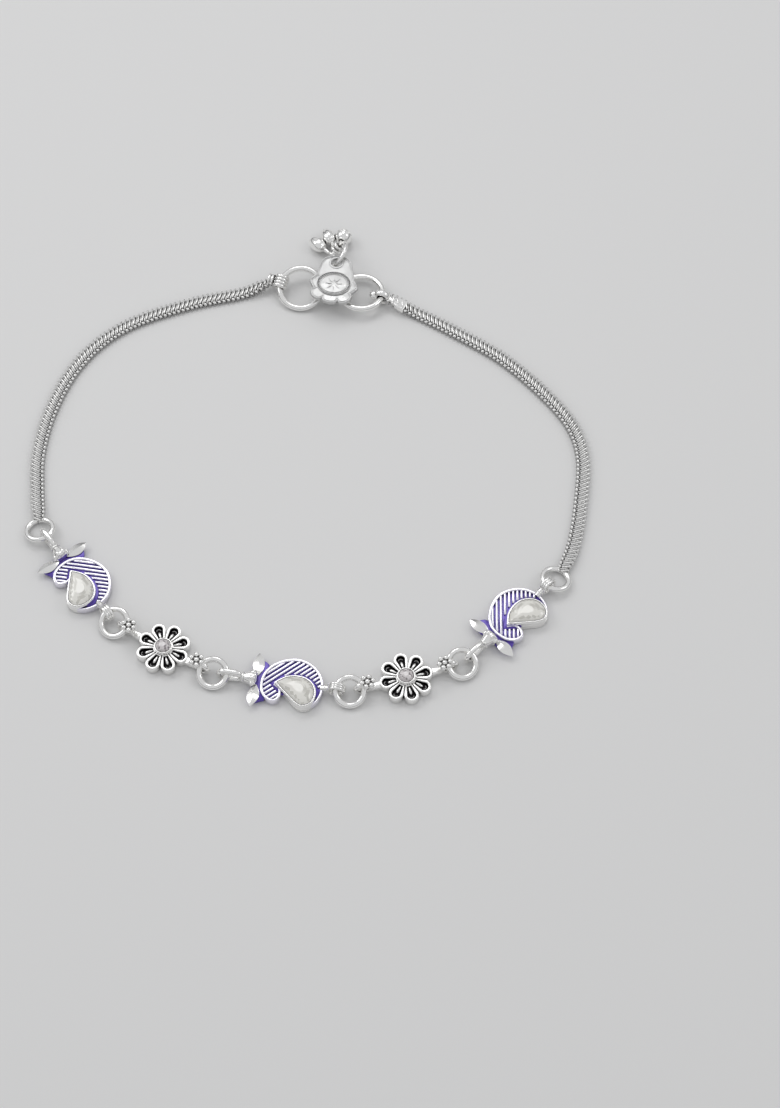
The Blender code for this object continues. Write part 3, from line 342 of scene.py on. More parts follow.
def deselect() -> None:
    """Leave nothing selected, in object mode."""
    if bpy.context.object is not None and bpy.context.object.mode != "OBJECT":
        bpy.ops.object.mode_set(mode="OBJECT")
    bpy.ops.object.select_all(action="DESELECT")


def put_in(name: str, data: bpy.types.ID) -> Piece:
    """Put data into the scene as an object."""
    piece = bpy.data.objects.new(name, data)
    bpy.context.scene.collection.objects.link(piece)
    return piece


def pick(piece: Piece) -> None:
    """Make a piece the only one selected, and the active one."""
    deselect()
    piece.select_set(True)
    bpy.context.view_layer.objects.active = piece


def set_down(piece: Piece, turn: Matrix) -> Piece:
    """Write a place into a piece's mesh.

    Args:
        piece: the piece, its object at the origin.
        turn: where it goes.

    Returns:
        The same piece.
    """
    piece.matrix_world = turn @ piece.matrix_world
    pick(piece)
    bpy.ops.object.transform_apply(location=True, rotation=True, scale=True)
    return piece


def open_mesh() -> None:
    """Go into edit mode with the whole mesh selected."""
    bpy.ops.object.mode_set(mode="EDIT")
    bpy.ops.mesh.select_all(action="SELECT")


def close_mesh() -> None:
    """Go back to object mode."""
    bpy.ops.object.mode_set(mode="OBJECT")


def close_up(piece: Piece, distance: float = 0.001 * MM) -> Piece:
    """Merge a piece's doubled points and turn its faces outwards."""
    pick(piece)
    open_mesh()
    bpy.ops.mesh.remove_doubles(threshold=distance)
    bpy.ops.mesh.normals_make_consistent(inside=False)
    close_mesh()
    return piece


def twin(piece: Piece, turn: Matrix) -> Piece:
    """Copy a piece with its own mesh and set the copy down at a place."""
    return set_down(put_in(piece.name, piece.data.copy()), turn)


def scrap(pieces: Iterable[Piece]) -> None:
    """Throw patterns away once their copies are made."""
    for piece in pieces:
        bpy.data.objects.remove(piece, do_unlink=True)


def solder(name: str, pieces: Sequence[Piece]) -> Piece:
    """Join pieces of one finish.

    Args:
        name: the name of the joined piece.
        pieces: the pieces, the first of which takes the others in.

    Returns:
        The joined piece.
    """
    pick(pieces[0])
    for piece in pieces[1:]:
        piece.select_set(True)
    if len(pieces) > 1:
        bpy.ops.object.join()
    joined = bpy.context.active_object
    joined.name = name
    return joined


def reshape(piece: Piece, rule: Callable[[Vector], Vector]) -> Piece:
    """Push each point of a piece to where a rule puts it."""
    for vertex in piece.data.vertices:
        vertex.co = rule(vertex.co.copy())
    piece.data.update()
    return piece


def mark(piece: Piece, name: str, rule: Callable[[Vector], float]) -> Piece:
    """Write a value on each point of a piece, for its finish to read."""
    values = piece.data.attributes.new(name, "FLOAT", "POINT")
    for vertex, value in zip(piece.data.vertices, values.data):
        value.value = rule(vertex.co)
    return piece


def mark_painted_facet_shade(piece: Piece, name: str) -> Piece:
    """Write a painted shade from 0 to 1 on each facet of a cut stone, from the way it faces."""
    along, across, both = PAINTED_FACET_SHADE_FACTORS
    values = piece.data.attributes.new(name, "FLOAT", "FACE")
    for facet, value in zip(piece.data.polygons, values.data):
        x, y, _ = facet.normal
        value.value = 0.5 + 0.5 * sin(along * x + across * y + both * x * y)
    return piece


def smooth(piece: Piece, degrees: float = 40.0) -> Piece:
    """Shade a piece smooth, apart from its real edges."""
    pick(piece)
    bpy.ops.object.shade_smooth_by_angle(angle=radians(degrees))
    return piece


def flat_form(
    name: str, outlines: Sequence[Sequence[Point]], bottom: float, top: float, rounding: float,
    steps: int = 2,
) -> Piece:
    """Raise a flat form with rounded edges.

    Args:
        name: the name of the form.
        outlines: closed outlines; one that lies in another is a hole in it.
        bottom: height of the underside.
        top: height of the upper side.
        rounding: radius of the edges.
        steps: fineness of the rounded edges.

    Returns:
        The form as a closed mesh.
    """
    curve = bpy.data.curves.new(name, "CURVE")
    curve.dimensions = "2D"
    curve.fill_mode = "BOTH"
    curve.extrude = (top - bottom) / 2 - rounding
    curve.bevel_depth = rounding
    curve.bevel_resolution = steps
    curve.offset = -rounding
    for outline in outlines:
        spline = curve.splines.new("POLY")
        spline.points.add(len(outline) - 1)
        for point, (x, y) in zip(spline.points, outline):
            point.co = (x, y, 0.0, 1.0)
        spline.use_cyclic_u = True
    pick(put_in(name, curve))
    bpy.ops.object.convert(target="MESH")
    form = bpy.context.active_object
    set_down(form, shifted(0.0, 0.0, (top + bottom) / 2))
    return close_up(form, 0.0005 * MM)


def wire_form(name: str, path: Sequence[Vector], diameter: float, closed: bool) -> Piece:
    """Bend round wire along a path.

    Args:
        name: the name of the wire.
        path: the points that its middle follows.
        diameter: the wire's diameter.
        closed: whether its ends meet.

    Returns:
        The wire as a closed mesh.
    """
    curve = bpy.data.curves.new(name, "CURVE")
    curve.dimensions = "3D"
    curve.bevel_depth = diameter / 2
    curve.bevel_resolution = 3
    curve.use_fill_caps = not closed
    spline = curve.splines.new("POLY")
    spline.points.add(len(path) - 1)
    for point, spot in zip(spline.points, path):
        point.co = (*spot, 1.0)
    spline.use_cyclic_u = closed
    pick(put_in(name, curve))
    bpy.ops.object.convert(target="MESH")
    return close_up(bpy.context.active_object)


def spun_ring(name: str, radius: float, wire: float, steps: int, sides: int = 16) -> Piece:
    """Close round wire into a ring that lies level, its soldered joint on +X.

    Args:
        name: the name of the ring.
        radius: from the ring's middle to the wire's middle.
        wire: the wire's diameter.
        steps: steps round the ring.
        sides: sides of the wire.

    Returns:
        The ring.
    """
    deselect()
    bpy.ops.mesh.primitive_circle_add(
        vertices=sides, radius=wire / 2, location=(radius, 0.0, 0.0), rotation=(pi / 2, 0.0, 0.0)
    )
    ring = bpy.context.active_object
    ring.name = name
    bpy.ops.object.transform_apply(location=True, rotation=True, scale=True)
    open_mesh()
    bpy.ops.mesh.spin(steps=steps, angle=2 * pi, center=(0, 0, 0), axis=(0, 0, 1))
    close_mesh()
    return close_up(ring)


def lathe(name: str, profile: Sequence[Point], steps: int) -> Piece:
    """Turn a profile round Z.

    Args:
        name: the name of the form.
        profile: (radius, height) pairs whose ends lie on the axis.
        steps: steps round the axis.

    Returns:
        The turned form.
    """
    deselect()
    bpy.ops.mesh.primitive_plane_add(size=MM)
    form = bpy.context.active_object
    form.name = name
    bpy.ops.object.mode_set(mode="EDIT")
    bpy.ops.mesh.delete(type="VERT")
    close_mesh()
    form.data.vertices.add(len(profile))
    form.data.edges.add(len(profile) - 1)
    for vertex, (radius, height) in zip(form.data.vertices, profile):
        vertex.co = (radius, 0.0, height)
    for at, edge in enumerate(form.data.edges):
        edge.vertices = (at, at + 1)
    form.data.update()
    open_mesh()
    bpy.ops.mesh.spin(steps=steps, angle=2 * pi, center=(0, 0, 0), axis=(0, 0, 1))
    close_mesh()
    return close_up(form)


def grain_ball(name: str, diameter: float, segments: int = 20, foot: float = 0.42) -> Piece:
    """Melt a granule: a ball a little flattened underneath.

    Args:
        name: the name of the granule.
        diameter: its diameter.
        segments: steps round it.
        foot: how far below its middle it is flat, as a share of the diameter.

    Returns:
        The granule, its middle at the origin.
    """
    deselect()
    bpy.ops.mesh.primitive_uv_sphere_add(
        segments=segments, ring_count=segments // 2, radius=diameter / 2
    )
    grain = bpy.context.active_object
    grain.name = name
    floor = -foot * diameter
    return reshape(grain, lambda spot: Vector((spot.x, spot.y, max(spot.z, floor))))


def cut_stone(
    name: str, outline: Sequence[Point], seat: float, girdle: float, crown: float
) -> Piece:
    """Cut a stone over an outline: culet, pavilion, girdle, four rows of facets and table.

    Args:
        name: the name of the stone.
        outline: the girdle's outline, anticlockwise.
        seat: height of the stone's lowest point.
        girdle: height of the girdle's upper edge.
        crown: height of the table above the girdle.

    Returns:
        The stone, with flat facets.
    """
    count = len(outline)
    middle = (sum(x for x, _ in outline) / count, sum(y for _, y in outline) / count)
    tiers = [(CULET_SHARE, seat, 0.0), (1.0, girdle - GIRDLE_DEPTH, 0.0), (1.0, girdle, 0.0)]
    tiers += [(share, girdle + rise * crown, shift) for share, rise, shift in CROWN_ROWS]
    deselect()
    bpy.ops.mesh.primitive_circle_add(vertices=count, radius=MM, fill_type="NOTHING")
    stone = bpy.context.active_object
    stone.name = name
    spots = []
    for share, height, shift in tiers:
        for at, (x, y) in enumerate(outline):
            beside = outline[(at + 1) % count]
            x, y = x + (beside[0] - x) * shift, y + (beside[1] - y) * shift
            along = middle[0] + (x - middle[0]) * share
            across = middle[1] + (y - middle[1]) * share
            spots.append((along, across, height))
    stone.data.vertices.add(len(spots) - count)
    for vertex, spot in zip(stone.data.vertices, spots):
        vertex.co = spot
    stone.data.update()
    open_mesh()
    bpy.ops.mesh.convex_hull()
    bpy.ops.mesh.select_all(action="SELECT")
    bpy.ops.mesh.dissolve_limited(angle_limit=radians(1.0))
    bpy.ops.mesh.normals_make_consistent(inside=False)
    close_mesh()
    return mark_painted_facet_shade(stone, "facet")


@dataclass(frozen=True)
class Layer:
    """A flat layer of a casting: its reach past an outline, its heights and its rounded edge."""

    reach: float
    bottom: float
    top: float
    rounding: float
    steps: int = 2

    def over(self, name: str, outlines: Sequence[Sequence[Point]], base: float = 0.0) -> Piece:
        """Raise the layer over outlines, its heights counted from a base."""
        low, high = base + self.bottom, base + self.top
        return flat_form(name, outlines, low, high, self.rounding, self.steps)


@dataclass(frozen=True)
class Bezel:
    """The two walls that hold a stone, the inner one higher and set into the outer one."""

    wall: float
    height: float
    rounding: float
    outer_wall: float
    outer_drop: float
    inner_inset: float

    def raise_on(self, outline: Callable[[float], list[Point]], bottom: float) -> list[Piece]:
        """Raise both walls.

        Args:
            outline: gives the setting's outline, moved outwards by a distance.
            bottom: height that the walls stand on.

        Returns:
            The two walls.
        """
        outer = [outline(0.0), outline(-self.outer_wall)]
        inner = [outline(-self.inner_inset), outline(-self.wall)]
        low = self.height - self.outer_drop
        return [
            flat_form("bezel", outer, bottom, low, self.rounding),
            flat_form("bezel", inner, bottom, self.height, self.rounding),
        ]


# Finishes


@dataclass(frozen=True)
class Wiring:
    """A node tree with short calls for adding nodes and joining them."""

    tree: bpy.types.NodeTree

    def add(self, kind: str, **settings: object) -> Node:
        """Add a node.

        Args:
            kind: the node's type name.
            settings: properties of the node, and inputs by name with spaces as underscores.

        Returns:
            The node.
        """
        node = self.tree.nodes.new(kind)
        for name, value in settings.items():
            if hasattr(node, name):
                setattr(node, name, value)
            else:
                node.inputs[name.replace("_", " ")].default_value = value
        return node

    def join(self, source: Socket, target: Socket) -> None:
        """Join two sockets."""
        self.tree.links.new(source, target)

    def steps(self, value: Socket, low: float, high: float) -> Socket:
        """Give a smooth step of a value from low, 0, to high, 1."""
        node = self.add("ShaderNodeMapRange", interpolation_type="SMOOTHSTEP")
        node.inputs["From Min"].default_value = low
        node.inputs["From Max"].default_value = high
        self.join(value, node.inputs["Value"])
        return node.outputs["Result"]

    def sum(self, kind: str, first: Socket, second: Socket | float) -> Socket:
        """Give the result of one piece of arithmetic, kept from 0 to 1."""
        node = self.add("ShaderNodeMath", operation=kind, use_clamp=True)
        self.join(first, node.inputs[0])
        if isinstance(second, (int, float)):
            node.inputs[1].default_value = second
        else:
            self.join(second, node.inputs[1])
        return node.outputs[0]

    def rest(self, value: Socket, whole: float = 1.0) -> Socket:
        """Give what is left of a whole when a value is taken off, kept from 0 to 1."""
        node = self.add("ShaderNodeMath", operation="SUBTRACT", use_clamp=True)
        node.inputs[0].default_value = whole
        self.join(value, node.inputs[1])
        return node.outputs[0]

    def blend(self, share: Socket, first: Socket | Colour, second: Socket | Colour) -> Socket:
        """Give a colour between two colours."""
        node = self.add("ShaderNodeMix", data_type="RGBA")
        self.join(share, node.inputs["Factor"])
        for name, colour in (("A", first), ("B", second)):
            socket = [item for item in node.inputs if item.name == name and item.type == "RGBA"][0]
            if isinstance(colour, Socket):
                self.join(colour, socket)
            else:
                socket.default_value = (*colour, 1.0)
        return [item for item in node.outputs if item.type == "RGBA"][0]


def new_group(
    name: str, inputs: Sequence[tuple[str, float]], outputs: Sequence[str]
) -> tuple[Wiring, Node, Node]:
    """Start a shader node group with named sockets.

    Args:
        name: the group's name.
        inputs: names and values of its inputs.
        outputs: names of its outputs.

    Returns:
        The group's wiring, its input node and its output node.
    """
    tree = bpy.data.node_groups.new(name, "ShaderNodeTree")
    for label, value in inputs:
        socket = tree.interface.new_socket(label, in_out="INPUT", socket_type="NodeSocketFloat")
        socket.default_value = value
    for label in outputs:
        tree.interface.new_socket(label, in_out="OUTPUT", socket_type="NodeSocketFloat")
    wiring = Wiring(tree)
    return wiring, wiring.add("NodeGroupInput"), wiring.add("NodeGroupOutput")


def wear_and_shade_group() -> bpy.types.NodeTree:
    """Build the group for worn metal and for the shade painted into its crevices.

    Returns:
        A group with Spots, Edge Width, Pit Width and Crevice Reach in, and Polish, Tarnish,
        Crevice and Cloud out; Crevice is ambient occlusion, painted as shade into colours.
    """
    found = bpy.data.node_groups.get("worn_metal_and_crevice_shade")
    if found is not None:
        return found
    inputs = (
        ("Spots", 900.0), ("Edge Width", 0.06), ("Pit Width", 0.05), ("Crevice Reach", 0.35 * MM)
    )
    outputs = ("Polish", "Tarnish", "Crevice", "Cloud")
    wiring, taken, given = new_group("worn_metal_and_crevice_shade", inputs, outputs)
    place = wiring.add("ShaderNodeTexCoord")
    geometry = wiring.add("ShaderNodeNewGeometry")
    noise = wiring.add("ShaderNodeTexNoise", Detail=4.0, Roughness=0.6)
    wiring.join(place.outputs["Object"], noise.inputs["Vector"])
    wiring.join(taken.outputs["Spots"], noise.inputs["Scale"])
    cloud = wiring.steps(noise.outputs["Fac"], *CLOUD_STEPS)
    point = geometry.outputs["Pointiness"]
    above = wiring.sum("SUBTRACT", point, 0.5)
    polish = wiring.sum("DIVIDE", above, taken.outputs["Edge Width"])
    pit = wiring.sum("DIVIDE", wiring.rest(point, 0.5), taken.outputs["Pit Width"])
    uneven = wiring.sum("MULTIPLY", cloud, 1 - EVEN_TARNISH)
    uneven = wiring.sum("ADD", uneven, EVEN_TARNISH)
    # Painted shade: ambient occlusion darkens the colour in crevices and gaps, where shade falls
    hollow = wiring.add("ShaderNodeAmbientOcclusion", samples=4)
    wiring.join(taken.outputs["Crevice Reach"], hollow.inputs["Distance"])
    crevice_shade_and_tarnish = wiring.steps(wiring.rest(hollow.outputs["AO"]), *CREVICE_SHADE_STEPS)
    wiring.join(crevice_shade_and_tarnish, given.inputs["Crevice"])
    wiring.join(polish, given.inputs["Polish"])
    wiring.join(wiring.sum("MULTIPLY", pit, uneven), given.inputs["Tarnish"])
    wiring.join(cloud, given.inputs["Cloud"])
    return wiring.tree


def grain_group() -> bpy.types.NodeTree:
    """Build the group for the fine relief of cast and drawn metal.

    Returns:
        A group with the noise sizes Fine, Coarse and Scratches in, and Height out.
    """
    found = bpy.data.node_groups.get("metal_grain")
    if found is not None:
        return found
    inputs = [(name, scale) for name, scale, *_ in GRAIN_LAYERS]
    wiring, taken, given = new_group("metal_grain", inputs, ("Height",))
    place = wiring.add("ShaderNodeTexCoord")
    total = None
    for name, _, stretch, weight in GRAIN_LAYERS:
        turn = (0.0, 0.0, SCRATCH_TURN)
        lie = wiring.add("ShaderNodeMapping", Scale=(stretch, 1.0, 1.0), Rotation=turn)
        wiring.join(place.outputs["Object"], lie.inputs["Vector"])
        noise = wiring.add("ShaderNodeTexNoise", Detail=2.0)
        wiring.join(lie.outputs["Vector"], noise.inputs["Vector"])
        wiring.join(taken.outputs[name], noise.inputs["Scale"])
        layer = wiring.sum("MULTIPLY", noise.outputs["Fac"], weight)
        total = layer if total is None else wiring.sum("ADD", total, layer)
    wiring.join(total, given.inputs["Height"])
    return wiring.tree


def add_relief(wiring: Wiring, shader: Node, strength: float, depth: float) -> None:
    """Give a material the fine relief of metal.

    Args:
        wiring: the material's wiring.
        shader: its Principled shader.
        strength: how strongly the relief shows.
        depth: the depth that it stands for.
    """
    grain = wiring.add("ShaderNodeGroup", node_tree=grain_group())
    bump = wiring.add("ShaderNodeBump", Strength=strength, Distance=depth)
    wiring.join(grain.outputs["Height"], bump.inputs["Height"])
    wiring.join(bump.outputs["Normal"], shader.inputs["Normal"])


@dataclass(frozen=True)
class Finish:
    """A finish with its name and main colour, whose material is built once."""

    name: str
    colour: Colour = (0.8, 0.8, 0.8)

    def material(self) -> bpy.types.Material:
        """Give the material, built when it is first asked for.

        Returns:
            The material.
        """
        found = bpy.data.materials.get(self.name)
        if found is not None:
            return found
        made = bpy.data.materials.new(self.name)
        made.use_nodes = True
        self.dress(Wiring(made.node_tree), made.node_tree.nodes["Principled BSDF"])
        made.diffuse_color = (*self.colour, 1.0)
        return made

    def dress(self, wiring: Wiring, shader: Node) -> None:
        """Wire the finish into a new material with a Principled shader."""
        raise NotImplementedError


@dataclass(frozen=True)
class MetalFinish(Finish):
    """Silver, with polish on its edges, tarnish in its pits, tarnish and painted shade in its
    crevices, and a fine grain.
    """

    colour: Colour = (0.97, 0.965, 0.95)
    tarnish_and_shade_colour: Colour = (0.09, 0.085, 0.09)
    tarnish: float = 0.8
    crevice_shade_and_tarnish: float = 0.85
    reach: float = 0.35 * MM
    roughness: float = 0.17
    cloudiness: float = 0.10
    edge_gloss: float = 0.08
    grain: float = 0.25
    grain_depth: float = 0.01 * MM
    # Marked places go dark: real blackening on the flowers, painted shade in the plaited chain
    recess: str = ""
    blackening_and_painted_shade_colour: Colour = (0.012, 0.011, 0.012)
    recess_dullness: float = 0.30
    recess_cloudiness: float = 0.05
    speck_scale: float = 5200.0
    speck_steps: tuple[float, float] = (0.66, 0.78)
    speck_share: float = 0.30

    def dress(self, wiring: Wiring, shader: Node) -> None:
        """Wire worn metal and its painted crevice shade into a new material.

        Args:
            wiring: the material's wiring.
            shader: its Principled shader.
        """
        shader.inputs["Metallic"].default_value = 1.0
        wear_and_shade = wiring.add("ShaderNodeGroup", node_tree=wear_and_shade_group(), Crevice_Reach=self.reach)
        pits = wiring.sum("MULTIPLY", wear_and_shade.outputs["Tarnish"], self.tarnish)
        # Crevice darkening is partly tarnish and partly painted shade, from ambient occlusion
        shade = wiring.sum("MULTIPLY", wear_and_shade.outputs["Crevice"], self.crevice_shade_and_tarnish)
        tone = wiring.blend(wiring.sum("ADD", pits, shade), self.colour, self.tarnish_and_shade_colour)
        cloud = wiring.sum("MULTIPLY", wear_and_shade.outputs["Cloud"], self.cloudiness)
        gloss = wiring.sum("MULTIPLY", wear_and_shade.outputs["Polish"], self.edge_gloss)
        rough = wiring.sum("SUBTRACT", wiring.sum("ADD", cloud, self.roughness), gloss)
        if self.recess:
            tone, rough = self.blacken_and_paint_shade(wiring, tone, rough, wear_and_shade.outputs["Cloud"])
        wiring.join(tone, shader.inputs["Base Color"])
        wiring.join(rough, shader.inputs["Roughness"])
        add_relief(wiring, shader, self.grain, self.grain_depth)

    def blacken_and_paint_shade(
        self, wiring: Wiring, tone: Socket, rough: Socket, cloud: Socket
    ) -> tuple[Socket, Socket]:
        """Blacken the places that the piece's own marks name: real blackening on the flowers,
        painted shade in the plaited chain's gaps.

        Args:
            wiring: the material's wiring.
            tone: its colour so far.
            rough: its roughness so far.
            cloud: the uneven mask of its wear.

        Returns:
            The new colour and roughness.
        """
        marks = wiring.add("ShaderNodeAttribute", attribute_name=self.recess)
        place = wiring.add("ShaderNodeTexCoord")
        noise = wiring.add("ShaderNodeTexNoise", Scale=self.speck_scale, Detail=3.0)
        wiring.join(place.outputs["Object"], noise.inputs["Vector"])
        specks = wiring.steps(noise.outputs["Fac"], *self.speck_steps)
        bare = wiring.sum("MULTIPLY", specks, self.speck_share)
        kept = wiring.sum("SUBTRACT", marks.outputs["Fac"], bare)
        dark = wiring.blend(kept, tone, self.blackening_and_painted_shade_colour)
        dull = wiring.sum("ADD", rough, wiring.sum("MULTIPLY", kept, self.recess_dullness))
        uneven = wiring.sum("MULTIPLY", cloud, self.recess_cloudiness)
        return dark, wiring.sum("ADD", dull, uneven)


@dataclass(frozen=True)
class EnamelFinish(Finish):
    """Glossy enamel over silver, uneven in depth, with shade painted into its crevices."""

    colour: Colour = (0.075, 0.038, 0.40)
    thin_colour: Colour = (0.17, 0.105, 0.62)
    painted_shade_colour: Colour = (0.012, 0.006, 0.09)
    thin_share: float = 0.45
    metallic: float = 0.25
    roughness: float = 0.16
    cloudiness: float = 0.1
    coat: float = 0.5
    coat_roughness: float = 0.05
    spots: float = 1600.0
    grain: float = 0.15
    grain_depth: float = 0.02 * MM

    def dress(self, wiring: Wiring, shader: Node) -> None:
        """Wire enamel into a new material.

        Args:
            wiring: the material's wiring.
            shader: its Principled shader.
        """
        shader.inputs["Coat Roughness"].default_value = self.coat_roughness
        shader.inputs["Coat Weight"].default_value = self.coat
        shader.inputs["Metallic"].default_value = self.metallic
        wear_and_shade = wiring.add("ShaderNodeGroup", node_tree=wear_and_shade_group(), Spots=self.spots)
        thin = wiring.sum("MULTIPLY", wear_and_shade.outputs["Cloud"], self.thin_share)
        thin = wiring.sum("ADD", thin, wear_and_shade.outputs["Polish"])
        tone = wiring.blend(thin, self.colour, self.thin_colour)
        # Painted shade: the enamel darkens where ambient occlusion finds crevices beside ribs and
        # walls
        tone = wiring.blend(wear_and_shade.outputs["Crevice"], tone, self.painted_shade_colour)
        wiring.join(tone, shader.inputs["Base Color"])
        rough = wiring.sum("MULTIPLY", wear_and_shade.outputs["Cloud"], self.cloudiness)
        wiring.join(wiring.sum("ADD", rough, self.roughness), shader.inputs["Roughness"])
        add_relief(wiring, shader, self.grain, self.grain_depth)


@dataclass(frozen=True)
class StoneFinish(Finish):
    """A clear cut stone over a bright back, its facets painted in unlike shades for the light they
    catch, a little cloudy inside.
    """

    colour: Colour = (0.98, 0.965, 0.91)
    painted_shade_colour: Colour = (0.70, 0.685, 0.63)
    cloud_colour: Colour = (0.96, 0.94, 0.87)
    cloud_share: float = 0.5
    painted_facet_shade_steps: tuple[float, float] = (0.62, 1.0)
    clearness: float = 0.12
    refraction: float = 1.7
    roughness: float = 0.02
    cloudiness: float = 0.04
    coat: float = 0.5
    coat_roughness: float = 0.02
    spots: float = 1100.0

    def dress(self, wiring: Wiring, shader: Node) -> None:
        """Wire cut stone into a new material.

        Args:
            wiring: the material's wiring.
            shader: its Principled shader.
        """
        shader.inputs["Transmission Weight"].default_value = self.clearness
        shader.inputs["Metallic"].default_value = 0.0
        shader.inputs["IOR"].default_value = self.refraction
        shader.inputs["Coat Weight"].default_value = self.coat
        shader.inputs["Coat Roughness"].default_value = self.coat_roughness
        wear_and_shade = wiring.add("ShaderNodeGroup", node_tree=wear_and_shade_group(), Spots=self.spots)
        # Painted shade: facets are darkened by the way they face, standing in for reflected light
        facets = wiring.add("ShaderNodeAttribute", attribute_name="facet")
        painted_shade_share = wiring.steps(facets.outputs["Fac"], *self.painted_facet_shade_steps)
        cloudy = wiring.sum("MULTIPLY", wear_and_shade.outputs["Cloud"], self.cloud_share)
        tone = wiring.blend(cloudy, self.colour, self.cloud_colour)
        wiring.join(wiring.blend(painted_shade_share, tone, self.painted_shade_colour), shader.inputs["Base Color"])
        rough = wiring.sum("MULTIPLY", wear_and_shade.outputs["Cloud"], self.cloudiness)
        wiring.join(wiring.sum("ADD", rough, self.roughness), shader.inputs["Roughness"])


POLISHED = MetalFinish("polished_silver")
DRAWN = MetalFinish("drawn_wire_silver", roughness=0.13, grain=0.15)
# The chain's recess marks and their dark colour are painted shade in the gaps of the plait
PLAITED = MetalFinish(
    "plaited_chain_silver", roughness=0.20, tarnish=0.4, crevice_shade_and_tarnish=0.8, reach=0.4 * MM,
    recess="recess", blackening_and_painted_shade_colour=(0.10, 0.098, 0.10)
)
FROSTED = MetalFinish(
    "frosted_tag_silver", colour=(0.62, 0.62, 0.615), roughness=0.32, grain=1.0,
    grain_depth=0.05 * MM, tarnish=0.8, crevice_shade_and_tarnish=0.6
)
BLACKENED = MetalFinish("blackened_flower_silver", recess="recess")
LILAC = MetalFinish(
    "lilac_rim_silver", colour=(0.93, 0.91, 0.99), tarnish_and_shade_colour=(0.12, 0.075, 0.42), tarnish=0.9,
    crevice_shade_and_tarnish=1.0
)
VIOLET = EnamelFinish("blue_violet_enamel")
DEEP_VIOLET = EnamelFinish(
    "deep_violet_enamel", colour=(0.055, 0.022, 0.31), thin_colour=(0.10, 0.05, 0.44)
)
DROP_STONE = StoneFinish("pale_drop_stone")
ROUND_STONE = StoneFinish(
    "pinkish_round_stone", colour=(0.86, 0.82, 0.82), painted_shade_colour=(0.30, 0.27, 0.28),
    cloud_colour=(0.62, 0.57, 0.58)
)


def publish(
    piece: Piece, name: str, finish: Finish, slot: Slot, nodes: Sequence[str] = ()
) -> Piece:
    """Dress a finished piece and hand it to the frame.

    Args:
        piece: the piece, its place in its mesh.
        name: its name.
        finish: its finish.
        slot: the record's slot that it stands for; not used.
        nodes: the plain solids that it replaces.

    Returns:
        The same piece.
    """
    piece.name = name
    piece.data.name = name
    piece.data.materials.clear()
    piece.data.materials.append(finish.material())
    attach(piece, "root")
    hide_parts(*nodes)
    LOG.info("%s: %d faces, %s", name, len(piece.data.polygons), finish.name)
    return piece


# Layout


